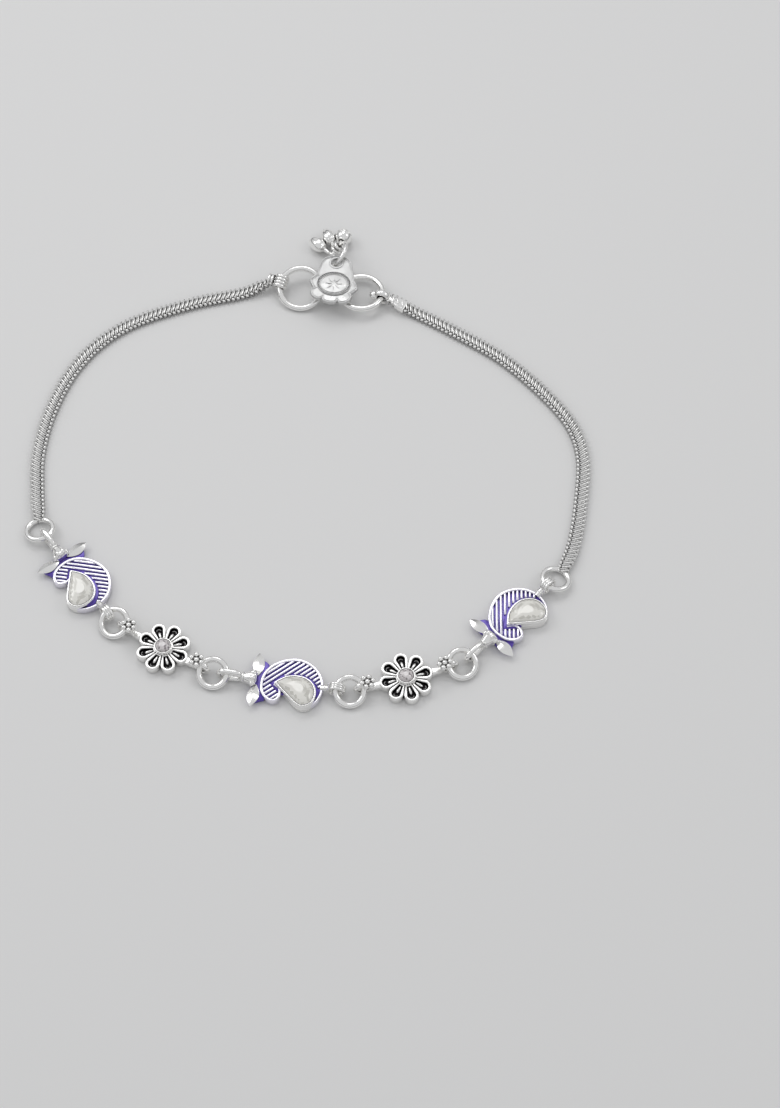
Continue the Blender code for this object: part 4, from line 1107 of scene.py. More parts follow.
@dataclass
class AnkletLayout:
    """Sizes shared by several pieces, and the places that follow from them."""

    ring_diameter: float = 5.4 * MM
    ring_wire: float = 1.0 * MM
    end_ring_diameter: float = 5.2 * MM
    end_ring_wire: float = 0.95 * MM
    floor_gap: float = 0.02 * MM
    eye_wire: float = 0.8 * MM
    eye_clearance: float = 0.2 * MM
    eye_tip_to_ring_centre: float = 0.5 * MM
    eye_waist: float = 0.45
    eye_swell: float = 1.12
    flower_eye: float = 6.85 * MM
    paisley_back: float = 5.35 * MM
    paisley_ahead: float = 11.8 * MM
    headings: tuple[float, ...] = (-53.0, -29.5, -8.5, 15.5, 45.5)
    kinds: tuple[Kind, ...] = (
        Kind.PAISLEY, Kind.FLOWER, Kind.PAISLEY, Kind.FLOWER, Kind.PAISLEY
    )
    clasp_aside: float = 6.9 * MM
    clasp_depth: float = 74.35 * MM
    clasp_heading: float = radians(-5.2)
    clasp_ring_diameter: float = 8.2 * MM
    clasp_ring_wire: float = 1.05 * MM
    clasp_ring_spacing: float = 10.3 * MM
    right_clasp_tilt: float = radians(-5.0)
    hook_wire: float = 0.8 * MM
    places: dict[int, Vector] = field(default_factory=dict)
    ring_centres: dict[int, Vector] = field(default_factory=dict)
    left_end: Vector = field(default_factory=Vector)
    right_end: Vector = field(default_factory=Vector)

    def __post_init__(self) -> None:
        """Walk the string both ways from the centre paisley, then set it where the solids are."""
        self.jump_radius = (self.ring_diameter - self.ring_wire) / 2
        self.end_radius = (self.end_ring_diameter - self.end_ring_wire) / 2
        self.clasp_radius = (self.clasp_ring_diameter - self.clasp_ring_wire) / 2
        self.eye_radius = self.ring_wire / 2 + self.eye_clearance + self.eye_wire / 2
        self.string_level = self.eye_radius + self.eye_wire / 2
        self.hook_radius = self.clasp_ring_wire / 2 + self.eye_clearance + self.hook_wire / 2
        self.clasp_level = self.hook_radius + self.hook_wire / 2
        self.paisley_middle = (self.paisley_ahead - self.paisley_back) / 2
        self.turns = [radians(value) for value in self.headings]
        middle = self.paisley_middle
        back = {Kind.PAISLEY: self.paisley_back + middle, Kind.FLOWER: self.flower_eye}
        ahead = {Kind.PAISLEY: self.paisley_ahead - middle, Kind.FLOWER: self.flower_eye}
        last = len(self.kinds) - 1
        centre = last // 2
        self.places[centre] = Vector((0.0, 0.0))
        for at in range(centre, last):
            reach = ahead[self.kinds[at]] + self.jump_radius
            ring = self.places[at] + Vector(on_circle(reach, self.turns[at]))
            self.ring_centres[at] = ring
            reach = back[self.kinds[at + 1]] + self.jump_radius
            self.places[at + 1] = ring + Vector(on_circle(reach, self.turns[at + 1]))
        for at in range(centre, 0, -1):
            reach = back[self.kinds[at]] + self.jump_radius
            ring = self.places[at] - Vector(on_circle(reach, self.turns[at]))
            self.ring_centres[at - 1] = ring
            reach = ahead[self.kinds[at - 1]] + self.jump_radius
            self.places[at - 1] = ring - Vector(on_circle(reach, self.turns[at - 1]))
        reach = ahead[self.kinds[last]] + self.end_radius
        self.right_end = self.places[last] + Vector(on_circle(reach, self.turns[last]))
        reach = back[self.kinds[0]] + self.end_radius
        self.left_end = self.places[0] - Vector(on_circle(reach, self.turns[0]))
        self.clasp_middle = Vector((self.clasp_aside, self.clasp_depth))
        self.slide(self.seat_of("jump_ring_3") - self.ring_centres[centre])

    def seat_of(self, node: str) -> Vector:
        """Give the middle of a solid, seen from above."""
        low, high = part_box(node)
        return Vector(((low[0] + high[0]) / 2, (low[1] + high[1]) / 2))

    def slide(self, step: Vector) -> None:
        """Move the whole layout in plan."""
        self.places = {at: spot + step for at, spot in self.places.items()}
        self.ring_centres = {at: spot + step for at, spot in self.ring_centres.items()}
        self.left_end = self.left_end + step
        self.right_end = self.right_end + step
        self.clasp_middle = self.clasp_middle + step

    def casting_frame(self, at: int) -> Matrix:
        """Give the frame of a casting of the string."""
        spot = self.places[at]
        lie = turned(self.turns[at])
        return shifted(spot.x, spot.y) @ lie

    def rest_tilt(self, level: float, wire: float, radius: float, bend: float = 0.0) -> float:
        """Give the tilt at which a ring held at a level touches the surface."""
        drop = level - wire / 2 - self.floor_gap
        return asin(drop / (radius * (1 + sin(bend))))

    def tilted_frame(self, centre: Vector, level: float, heading: float, tilt: float) -> Matrix:
        """Give a frame whose X is the held line and whose +Y side is tilted up."""
        place = shifted(centre.x, centre.y, level)
        return place @ turned(heading) @ turned(tilt, "X")

    def jump_ring_frame(self, at: int) -> Matrix:
        """Give the frame of a jump ring."""
        bend = abs(self.turns[at + 1] - self.turns[at]) / 2
        heading = (self.turns[at + 1] + self.turns[at]) / 2
        tilt = self.rest_tilt(self.string_level, self.ring_wire, self.jump_radius, bend)
        level = self.string_level - self.jump_radius * sin(bend) * sin(tilt)
        return self.tilted_frame(self.ring_centres[at], level, heading, tilt)

    def end_ring_frame(self, side: Side) -> Matrix:
        """Give the frame of an end ring: X points at its eye, where it is highest."""
        centre = self.left_end if side is Side.LEFT else self.right_end
        heading = self.turns[0] if side is Side.LEFT else self.turns[-1] + pi
        low = self.end_ring_wire / 2 + self.floor_gap
        pitch = asin((self.string_level - low) / (2 * self.end_radius))
        place = shifted(centre.x, centre.y, (self.string_level + low) / 2)
        return place @ turned(heading) @ turned(-pitch, "Y")

    def clasp_ring_frame(self, side: Side) -> Matrix:
        """Give the frame of a clasp ring."""
        step = Vector(on_circle(self.clasp_ring_spacing / 2, self.clasp_heading))
        if side is Side.RIGHT:
            tilt = self.right_clasp_tilt
            centre = self.clasp_middle + step
        else:
            tilt = self.rest_tilt(self.clasp_level, self.clasp_ring_wire, self.clasp_radius)
            centre = self.clasp_middle - step
        return self.tilted_frame(centre, self.clasp_level, self.clasp_heading, tilt)

    def clasp_frame(self) -> Matrix:
        """Give the level frame of the clasp's middle."""
        place = shifted(self.clasp_middle.x, self.clasp_middle.y)
        return place @ turned(self.clasp_heading)


def wire_point(turn: Matrix, radius: float, world_angle: float) -> tuple[Vector, Vector]:
    """Find the point of a ring's wire in a direction seen from above.

    Args:
        turn: the ring's frame.
        radius: its wire's radius.
        world_angle: the direction.

    Returns:
        The point and the wire's direction there.
    """
    heading = turn.to_3x3() @ Vector((1.0, 0.0, 0.0))
    side = turn.to_3x3() @ Vector((0.0, 1.0, 0.0))
    goal = Vector(on_circle(1.0, world_angle))
    spread = heading.x * side.y - heading.y * side.x
    first = (goal.x * side.y - goal.y * side.x) / spread
    second = (heading.x * goal.y - heading.y * goal.x) / spread
    local = Vector((first, second, 0.0)).normalized() * radius
    tangent = Vector((-local.y, local.x, 0.0)).normalized()
    return turn @ local, turn.to_3x3() @ tangent


def wrap_frame(point: Vector, tangent: Vector) -> Matrix:
    """Give a frame on a ring's wire whose Z runs along the wire."""
    turn = tangent.to_track_quat("Z", "Y").to_matrix().to_4x4()
    return Matrix.Translation(point) @ turn


def string_eye(
    layout: AnkletLayout, wire_at: float, body_reach: float, strands: Sequence[Point] = ()
) -> Piece:
    """Bend the upright oval eye that holds a jump ring.

    Args:
        layout: the shared sizes.
        wire_at: where the held wire passes, along X.
        body_reach: how far the eye is drawn out towards the body.
        strands: the diameter and the place across of each strand, where it isn't one wire.

    Returns:
        The eye, in the casting's own frame.
    """
    radius = layout.eye_radius
    loops = []
    for wire, aside in strands or ((layout.eye_wire, 0.0),):
        strand = spun_ring("eye", radius + (layout.eye_wire - wire) / 4, wire, 40, 14)
        set_down(strand, turned(pi / 2, "X"))
        loops.append(set_down(strand, shifted(0.0, aside)))
    loop = solder("eye", loops)
    outer = radius + layout.eye_wire / 2
    ring_reach = layout.jump_radius - layout.eye_tip_to_ring_centre

    def draw_out(spot: Vector) -> Vector:
        pull = ease(abs(spot.x) / (layout.eye_waist * outer))
        away = ring_reach - outer if spot.x > 0 else outer - body_reach
        return Vector((spot.x + away * pull, spot.y * layout.eye_swell, spot.z))

    reshape(loop, draw_out)
    return set_down(loop, shifted(wire_at, 0.0, layout.string_level))


# Castings of the front string


@dataclass
class Flower:
    """An eight-petal casting with blackened petals, a set stone and granule rosettes."""

    layout: AnkletLayout
    diameter: float = 8.6 * MM
    petals: int = 8
    tip_radius: float = 1.15 * MM
    tip_arc: float = 84.0
    wall_arc: float = 105.0
    notch_radius: float = 3.05 * MM
    floor: float = 0.9 * MM
    rim_height: float = 1.5 * MM
    wall: float = 0.46 * MM
    wall_rounding: float = 0.13 * MM
    black_reach: float = 0.05 * MM
    black_depth: float = 0.1 * MM
    sunk_field: Layer = Layer(0.1 * MM, -0.1 * MM, 0.08 * MM, 0.01 * MM, 1)
    back_inset: float = 0.05 * MM
    back_rounding: float = 0.12 * MM
    recess_inner: float = 1.62 * MM
    recess_inner_width: float = 0.66 * MM
    petal_root: float = 1.1 * MM
    petal_root_width: float = 0.86 * MM
    tongue_reach: float = 3.0 * MM
    tongue_width: float = 0.72 * MM
    tongue_taper: tuple[float, float] = (0.35, 0.75)
    tongue_height: float = 0.62 * MM
    tongue_foot: float = 0.16 * MM
    tongue_black: float = 0.85
    crescent_radius: float = 0.36 * MM
    crescent_wire: float = 0.17 * MM
    crescent_arc: float = 75.0
    crescent_lift: float = 0.04 * MM
    crescent_black: float = 0.6
    bezel_diameter: float = 2.94 * MM
    bezel: Bezel = Bezel(
        wall=0.25 * MM, height=2.1 * MM, rounding=0.045 * MM, outer_wall=0.15 * MM,
        outer_drop=0.18 * MM, inner_inset=0.1 * MM
    )
    stone_crown: float = 0.55 * MM
    stone_clearance: float = 0.06 * MM
    tab_width: float = 1.0 * MM
    tab_flare: float = 1.25
    tab_taper: float = 0.8
    tab_lap: float = 0.6
    tab: Layer = Layer(0.0, 0.3 * MM, 1.3 * MM, 0.18 * MM)
    granule: float = 0.86 * MM
    granule_swell: float = 0.05
    rosette_radius: float = 0.9 * MM
    rosette_setback: float = 0.65 * MM
    granule_lift: float = 0.13 * MM
    rosette_seat: Layer = Layer(0.1 * MM, -0.25 * MM, 0.0, 0.08 * MM)

    def outline(self) -> list[Point]:
        """Give the scalloped edge: a round tip on each petal and a notch between petals."""
        line = []
        tip = self.diameter / 2 - self.tip_radius
        for petal in range(self.petals):
            axis = 2 * pi * petal / self.petals
            centre = on_circle(tip, axis)
            for x, y in arc(self.tip_radius, self.tip_arc, 13, axis):
                line.append((centre[0] + x, centre[1] + y))
            line.append(on_circle(self.notch_radius, axis + pi / self.petals))
        return line

    def recess(self, petal: int) -> list[Point]:
        """Give the sunk field of one petal, narrow at the stone and round at the tip."""
        axis = 2 * pi * petal / self.petals
        tip = self.diameter / 2 - self.tip_radius
        round_end = self.tip_radius - self.wall
        line = [(self.recess_inner, -self.recess_inner_width / 2)]
        line += [(tip + x, y) for x, y in arc(round_end, self.tip_arc, 13)]
        line.append((self.recess_inner, self.recess_inner_width / 2))
        return [turn_point(point, axis) for point in line]

    def petal(self) -> Piece:
        """Raise the petal on +X: a rounded wall round its sunk field, blackened inside."""
        tip = self.diameter / 2 - self.tip_radius
        line = [(self.petal_root, -self.petal_root_width / 2)]
        line += [(tip + x, y) for x, y in arc(self.tip_radius, self.wall_arc, 15)]
        line.append((self.petal_root, self.petal_root_width / 2))
        hole = self.recess(0)
        form = flat_form("petal", [line, hole], self.floor / 2, self.rim_height,
                         self.wall_rounding, 3)
        wide = offset(hole, self.black_reach)
        pit_low = self.rim_height - self.black_depth
        return mark(form, "recess", lambda spot: float(
            spot.z < pit_low and inside(wide, (spot.x, spot.y))))

    def crescent(self) -> Piece:
        """Lay the low curved ridge at the outer end of the field on +X."""
        tip = self.diameter / 2 - self.tip_radius
        height = self.floor + self.crescent_lift
        line = arc(self.crescent_radius, self.crescent_arc, 11)
        path = [Vector((tip + x, y, height)) for x, y in line]
        ridge = wire_form("crescent", path, self.crescent_wire, False)
        return mark(ridge, "recess", lambda spot: self.crescent_black)

    def tongue(self) -> Piece:
        """Raise the drop-shaped tongue on +X, pointed at the stone."""
        root = self.bezel_diameter / 2 - self.bezel.wall / 2
        deselect()
        bpy.ops.mesh.primitive_uv_sphere_add(segments=16, ring_count=10, radius=0.5)
        form = bpy.context.active_object
        length = self.tongue_reach - root
        narrow, growth = self.tongue_taper

        def drop(spot: Vector) -> Vector:
            share = spot.x + 0.5
            width = spot.y * self.tongue_width * (narrow + growth * share)
            height = self.floor + (spot.z + 0.25) * self.tongue_height
            return Vector((root + share * length, width, height))

        reshape(form, drop)
        low = self.floor + self.tongue_foot
        return mark(form, "recess", lambda spot: float(spot.z < low) * self.tongue_black)

    def rosette(self) -> list[Piece]:
        """Set seven granules over an eye, six of them round the middle one."""
        top = self.layout.string_level + self.layout.eye_radius + self.layout.eye_wire / 2
        centre = self.layout.flower_eye - self.rosette_setback
        grain = grain_ball("granule", self.granule)
        spots = [(centre, 0.0)]
        for at in range(6):
            along, across = on_circle(self.rosette_radius, pi * at / 3)
            spots.append((centre + along, across))
        grains = []
        for number, (x, y) in enumerate(spots):
            swell = 1.0 + self.granule_swell * sin(2.4 * number + 1.0)
            place = shifted(x, y, top + self.granule_lift)
            grains.append(twin(grain, place @ Matrix.Scale(swell, 4)))
        scrap([grain])
        seat = circle_outline(self.rosette_radius + self.rosette_seat.reach, 24)
        disc = self.rosette_seat.over("seat", [seat], top)
        grains.append(set_down(disc, shifted(centre, 0.0)))
        return grains

    def arm(self) -> list[Piece]:
        """Make one tab with its eye and rosette."""
        reach = self.layout.eye_radius + self.layout.eye_wire / 2
        start = self.diameter / 2 - self.wall
        end = self.layout.flower_eye - reach + self.layout.eye_wire * self.tab_lap
        wide = self.tab_width / 2 * self.tab_flare
        slim = self.tab_width / 2 * self.tab_taper
        tab_line = [(start, -wide), (end, -slim), (end, slim), (start, wide)]
        tab = self.tab.over("tab", [tab_line])
        eye = string_eye(self.layout, self.layout.flower_eye, reach)
        return [tab, eye, *self.rosette()]

    def casting(self) -> Piece:
        """Make the whole casting in its own frame."""
        recesses = [self.recess(petal) for petal in range(self.petals)]
        back_line = offset(self.outline(), -self.back_inset)
        back_top = self.floor + self.back_inset
        back = flat_form("back", [back_line], 0.0, back_top, self.back_rounding)
        rings = self.bezel.raise_on(
            lambda reach: circle_outline(self.bezel_diameter / 2 + reach, 56), self.floor / 2
        )
        petals = []
        for form in (self.petal(), self.crescent(), self.tongue()):
            for petal in range(1, self.petals):
                petals.append(twin(form, turned(2 * pi * petal / self.petals)))
            petals.append(form)
        arm = self.arm()
        other = [twin(piece, turned(pi)) for piece in arm]
        floor_lines = [offset(line, self.sunk_field.reach) for line in recesses]
        field_plate = self.sunk_field.over("field", floor_lines, self.floor)
        mark(field_plate, "recess", lambda spot: 1.0)
        return smooth(solder("flower", [*petals, back, field_plate, *rings, *arm, *other]))

    def stone(self) -> Piece:
        """Cut the round stone."""
        radius = self.bezel_diameter / 2 - self.bezel.wall - self.stone_clearance
        seat = self.floor + self.stone_clearance
        edge = circle_outline(radius, 16)
        return cut_stone("round_stone", edge, seat, self.bezel.height, self.stone_crown)

    def build(self, spots: Sequence[int]) -> None:
        """Build the flowers at their places in the string.

        Args:
            spots: numbers of the places in the string.
        """
        casting = self.casting()
        stone = self.stone()
        for number, at in enumerate(spots, 1):
            place = self.layout.casting_frame(at)
            publish(twin(casting, place), f"flower_{number}_casting", BLACKENED, Slot.OXIDISED,
                    [f"flower_{number}"])
            publish(twin(stone, place), f"flower_{number}_cut_stone", ROUND_STONE, Slot.STONE,
                    [f"flower_{number}_stone"])
        scrap([casting, stone])


@dataclass
class Paisley:
    """An enamelled paisley casting with ribs, a drop setting, leaves, calyx and eyes."""

    layout: AnkletLayout
    length: float = 9.95 * MM
    floor: float = 0.9 * MM
    rim_wire: float = 0.46 * MM
    rim_height: float = 1.4 * MM
    rim_rounding: float = 0.13 * MM
    edge_lift: float = 0.2 * MM
    rib_width: float = 0.40 * MM
    rib_pitch: float = 0.66 * MM
    rib_height: float = 1.28 * MM
    rib_rounding: float = 0.15 * MM
    rib_angle: float = radians(44.0)
    enamel_strip: float = 0.42 * MM
    bezel: Bezel = Bezel(
        wall=0.28 * MM, height=2.0 * MM, rounding=0.05 * MM, outer_wall=0.16 * MM,
        outer_drop=0.16 * MM, inner_inset=0.12 * MM
    )
    foot: Layer = Layer(0.05 * MM, 0.02 * MM, 0.32 * MM, 0.08 * MM)
    side: Layer = Layer(0.02 * MM, 0.25 * MM, 1.12 * MM, 0.04 * MM, 1)
    seat: Layer = Layer(-0.1 * MM, 0.3 * MM, 1.0 * MM, 0.05 * MM)
    sepals: Layer = Layer(0.0, 0.14 * MM, 0.88 * MM, 0.1 * MM)
    strip: Layer = Layer(0.0, -0.1 * MM, 0.24 * MM, 0.05 * MM)
    sheet: Layer = Layer(0.0, -0.2 * MM, 0.04 * MM, 0.03 * MM, 1)
    back_rounding: float = 0.1 * MM
    rib_sink: float = 0.2 * MM
    stone_crown: float = 0.55 * MM
    stone_clearance: float = 0.06 * MM
    leaf_length: float = 3.9 * MM
    leaf_width: float = 1.85 * MM
    leaf_thickness: float = 0.8 * MM
    leaf_lift: float = 1.05 * MM
    leaf_spread: float = 0.85 * MM
    leaf_lean: float = radians(5.0)
    leaf_step: float = 0.8 * MM
    leaf_shift: float = 0.2 * MM
    calyx_length: float = 2.2 * MM
    calyx_diameter: float = 2.4 * MM
    calyx_to_wire: float = 2.35 * MM
    post_length: float = 1.85 * MM
    post_diameter: float = 1.1 * MM
    strap: tuple[Point, ...] = ((0.45 * MM, 0.34 * MM), (0.36 * MM, 0.0), (0.45 * MM, -0.34 * MM))
    flutes: int = 8
    flute_depth: float = 0.07
    neck_wire: float = 0.34 * MM
    collar_wire: float = 0.22 * MM
    knob: float = 0.72 * MM
    knob_stretch: float = 1.5
    knob_place: tuple[float, float] = (0.86, 0.82)
    knobs: int = 7

    def spread(self, shares: Iterable[Point]) -> list[Point]:
        """Turn shares of the length into points of the casting's own frame."""
        start = -self.layout.paisley_middle
        return [(start + along * self.length, across * self.length) for along, across in shares]

    def drop_line(self, distance: float = 0.0, steps: int = 6) -> list[Point]:
        """Give the outline of the drop setting, moved outwards, its tip a little blunt."""
        line = smooth_line(self.spread(DROP_OUTLINE), steps, True, (0,))
        moved = offset(line, distance)
        if distance < 0:
            moved = [spot for spot in moved if clearance(line, spot) > -0.97 * distance]
            return blunt(thin_out(moved, 0.12 * MM), 0.1 * MM)
        return blunt(moved, 0.1 * MM)

    def drop_layer(self, name: str, layer: Layer) -> Piece:
        """Raise a flat layer over the drop."""
        return layer.over(name, [self.drop_line(layer.reach)])

    def rim_line(self, distance: float = 0.0, steps: int = 6) -> list[Point]:
        """Give the open line of the rim, moved outwards by a distance."""
        line = smooth_line(self.spread(PAISLEY_RIM), steps, False)
        return offset(line, distance, closed=False)

    def field_line(self, distance: float = 0.0) -> list[Point]:
        """Give the closed outline of the plate."""
        return self.rim_line(distance) + self.spread(PAISLEY_INSIDE)

    def ribbon(self) -> list[Point]:
        """Give the rim's outline, which thins out towards both of its ends."""
        outer = self.rim_line()
        widths = []
        for at in range(len(outer)):
            share = at / (len(outer) - 1)
            swell = 0.62 + 0.38 * ease(share / 0.2) - 0.3 * ease((share - 0.85) / 0.15)
            widths.append(-self.rim_wire * swell)
        return outer + list(reversed(offset(outer, widths, closed=False)))

    def rib_lines(self) -> list[list[Point]]:
        """Give the outlines of the slanting ribs between the rim and the strip at the drop."""
        edge = self.field_line(-self.rim_wire * 0.8)
        kept_clear = self.drop_line(self.enamel_strip)
        along = Vector(on_circle(1.0, self.rib_angle))
        across = Vector((-along.y, along.x))
        half_width = across * self.rib_width / 2
        count = int(self.length / self.rib_pitch)
        step = self.rib_width / 10
        lines = []
        for number in range(-count, count + 1):
            middle = across * number * self.rib_pitch
            opened = None
            for tick in range(int(2 * self.length / step)):
                position = tick * step - self.length
                spot = tuple(middle + along * position)
                solid = inside(edge, spot) and not inside(kept_clear, spot)
                if solid and opened is None:
                    opened = position
                if not solid and opened is not None:
                    if position - opened > self.rib_width * 1.6:
                        start = middle + along * opened
                        end = middle + along * position
                        lines.append([tuple(start - half_width), tuple(end - half_width),
                                      tuple(end + half_width), tuple(start + half_width)])
                    opened = None
        return lines

    def strip_line(self) -> list[Point]:
        """Give the outline of the enamel beside the bezel, which stops where the plate stops."""
        plate = self.field_line(-self.rim_wire * 0.4)
        near = self.drop_line(0.0)
        far = self.drop_line(self.enamel_strip)
        return [wide if inside(plate, wide) else tight for wide, tight in zip(far, near)]

    def leaf(self, side: int) -> Piece:
        """Shape one almond leaf with a ridge.

        Args:
            side: 1 for the left leaf, -1 for the right one.

        Returns:
            The leaf, in the casting's own frame.
        """
        deselect()
        bpy.ops.mesh.primitive_uv_sphere_add(segments=24, ring_count=20, radius=0.5)
        form = bpy.context.active_object

        def almond(spot: Vector) -> Vector:
            share = spot.z + 0.5
            swell = sin(pi * min(1.0, max(0.0, share))) ** 0.85
            around = atan2(spot.y, spot.x)
            ridge = abs(cos(around)) + abs(sin(around))
            out = 0.5 * swell / ridge if swell > 0.02 else 0.0
            x = cos(around) * out * self.leaf_width
            z = sin(around) * out * self.leaf_thickness
            return Vector((x, (share - 0.02) * self.leaf_length * side, z))

        reshape(form, almond)
        turn = turned(side * self.leaf_lean)
        root = (self.leaf_shift - self.layout.paisley_middle - self.leaf_step,
                side * self.leaf_spread, self.leaf_lift)
        return close_up(set_down(form, Matrix.Translation(root) @ turn))

    def calyx(self) -> Piece:
        """Turn the fluted bell between the eye and the leaves."""
        mouth = self.calyx_diameter / 2
        profile = [(mouth * out, self.calyx_length * along) for out, along in CALYX_PROFILE]
        bell = lathe("calyx", profile, 48)

        def flute(spot: Vector) -> Vector:
            around = atan2(spot.y, spot.x)
            depth = self.flute_depth * ease(spot.z / (0.6 * self.calyx_length))
            keep = 1 - depth * (1 + cos(self.flutes * around)) / 2
            return Vector((spot.x * keep, spot.y * keep, spot.z))

        reshape(bell, flute)
        knobs = []
        knob = grain_ball("knob", self.knob, 16)
        out, along = self.knob_place
        stretch = Matrix.Scale(self.knob_stretch, 4, (0.0, 0.0, 1.0))
        for at in range(self.knobs):
            x, y = on_circle(mouth * out, 2 * pi * at / self.knobs)
            place = shifted(x, y, self.calyx_length * along)
            knobs.append(twin(knob, place @ stretch))
        scrap([knob])
        neck = spun_ring("neck", mouth * 0.6, self.neck_wire, 32, 10)
        set_down(neck, shifted(0.0, 0.0, self.calyx_length * 0.1))
        bell = solder("calyx", [bell, neck, *knobs])
        set_down(bell, turned(pi / 2, "Y"))
        start = -self.layout.paisley_middle - self.leaf_step - self.calyx_length
        return set_down(bell, shifted(start, 0.0, self.layout.string_level))

    def eyes(self) -> list[Piece]:
        """Bend both eyes and the post of the far one."""
        layout = self.layout
        near_at = -layout.paisley_middle - layout.paisley_back
        far_at = -layout.paisley_middle + layout.paisley_ahead
        near = string_eye(layout, -near_at, self.calyx_to_wire + self.calyx_length * 0.2)
        set_down(near, turned(pi))
        far = string_eye(layout, far_at, layout.eye_radius + layout.eye_wire / 2, self.strap)
        start = Vector((far_at - self.post_length - self.rim_wire, 0.0, self.rim_height * 0.8))
        end = Vector((far_at - layout.eye_radius + layout.eye_wire * 0.1, 0.0,
                      layout.string_level))
        path = [start.lerp(end, share / 6) for share in range(7)]
        post = wire_form("post", path, self.post_diameter, False)
        collar_at = Matrix.Translation(start.lerp(end, 0.45)) @ turned(pi / 2, "Y")
        collar = spun_ring("collar", self.post_diameter / 2, self.collar_wire, 32, 10)
        return [near, far, post, set_down(collar, collar_at)]

    def metal(self) -> Piece:
        """Make the plain silver of the casting: back, bezel, foot, leaves, calyx and eyes."""
        back = flat_form("back", [self.field_line(-self.rim_wire / 2)], 0.0,
                         self.floor - self.back_rounding, self.back_rounding)
        foot = self.drop_layer("foot", self.foot)
        walls = self.bezel.raise_on(self.drop_line, self.floor)
        leaves = [self.leaf(1), self.leaf(-1)]
        seat = self.drop_layer("seat", self.seat)
        side = self.drop_layer("side", self.side)
        parts = [back, foot, side, seat, *walls, *leaves, self.calyx(), *self.eyes()]
        return smooth(solder("paisley_metal", parts))

    def rim(self) -> Piece:
        """Make the rim wire and the ribs."""
        wall = flat_form("rim", [self.ribbon()], self.edge_lift, self.rim_height,
                         self.rim_rounding, 3)
        ribs = flat_form("ribs", self.rib_lines(), self.floor - self.rib_sink, self.rib_height,
                         self.rib_rounding, 3)
        return smooth(solder("paisley_rim", [wall, ribs]))

    def enamel(self) -> Piece:
        """Lay the enamel between the ribs."""
        field_edge = self.field_line(-self.rim_wire * 0.7)
        return smooth(self.sheet.over("enamel", [field_edge], self.floor))

    def deep_enamel(self) -> Piece:
        """Lay the deep enamel beside the bezel and round the leaves."""
        strip = self.strip.over("strip", [self.strip_line()], self.floor)
        sepal = smooth_line(self.spread(reversed(SEPAL_OUTLINE)), 4, True, (7, 1))
        sepals = self.sepals.over("sepals", [sepal])
        return smooth(solder("paisley_deep_enamel", [strip, sepals]))

    def stone(self) -> Piece:
        """Cut the drop stone."""
        edge = self.drop_line(-self.bezel.wall - self.stone_clearance, 2)
        seat = self.seat.top + self.stone_clearance
        return cut_stone("drop_stone", edge, seat, self.bezel.height, self.stone_crown)

    def build(self, spots: Sequence[int]) -> None:
        """Build the paisleys at their places in the string.

        Args:
            spots: numbers of the places in the string.
        """
        patterns = (
            (self.metal(), "casting", POLISHED, Slot.ENAMEL, ""),
            (self.rim(), "rim_and_ribs", LILAC, Slot.ENAMEL, ""),
            (self.enamel(), "enamel", VIOLET, Slot.ENAMEL, ""),
            (self.deep_enamel(), "deep_enamel", DEEP_VIOLET, Slot.ENAMEL, ""),
            (self.stone(), "cut_stone", DROP_STONE, Slot.STONE, "_stone"),
        )
        for number, at in enumerate(spots, 1):
            place = self.layout.casting_frame(at)
            for pattern, name, finish, slot, suffix in patterns:
                publish(twin(pattern, place), f"paisley_{number}_{name}", finish, slot,
                        [f"paisley_{number}{suffix}"])
        scrap([pattern for pattern, *_ in patterns])


@dataclass
class JumpRings:
    """The four wire rings between the castings."""

    layout: AnkletLayout
    first_joint: float = 70.0
    joint_step: float = 50.0

    def build(self) -> None:
        """Build the rings, each with its soldered joint turned its own way."""
        pattern = spun_ring("ring", self.layout.jump_radius, self.layout.ring_wire, 72, 18)
        for at in sorted(self.layout.ring_centres):
            joint = turned(radians(self.first_joint + self.joint_step * at))
            ring = twin(pattern, self.layout.jump_ring_frame(at) @ joint)
            publish(smooth(ring), f"jump_ring_{at + 1}_wire", DRAWN, Slot.SILVER,
                    [f"jump_ring_{at + 1}"])
        scrap([pattern])


# Side chains


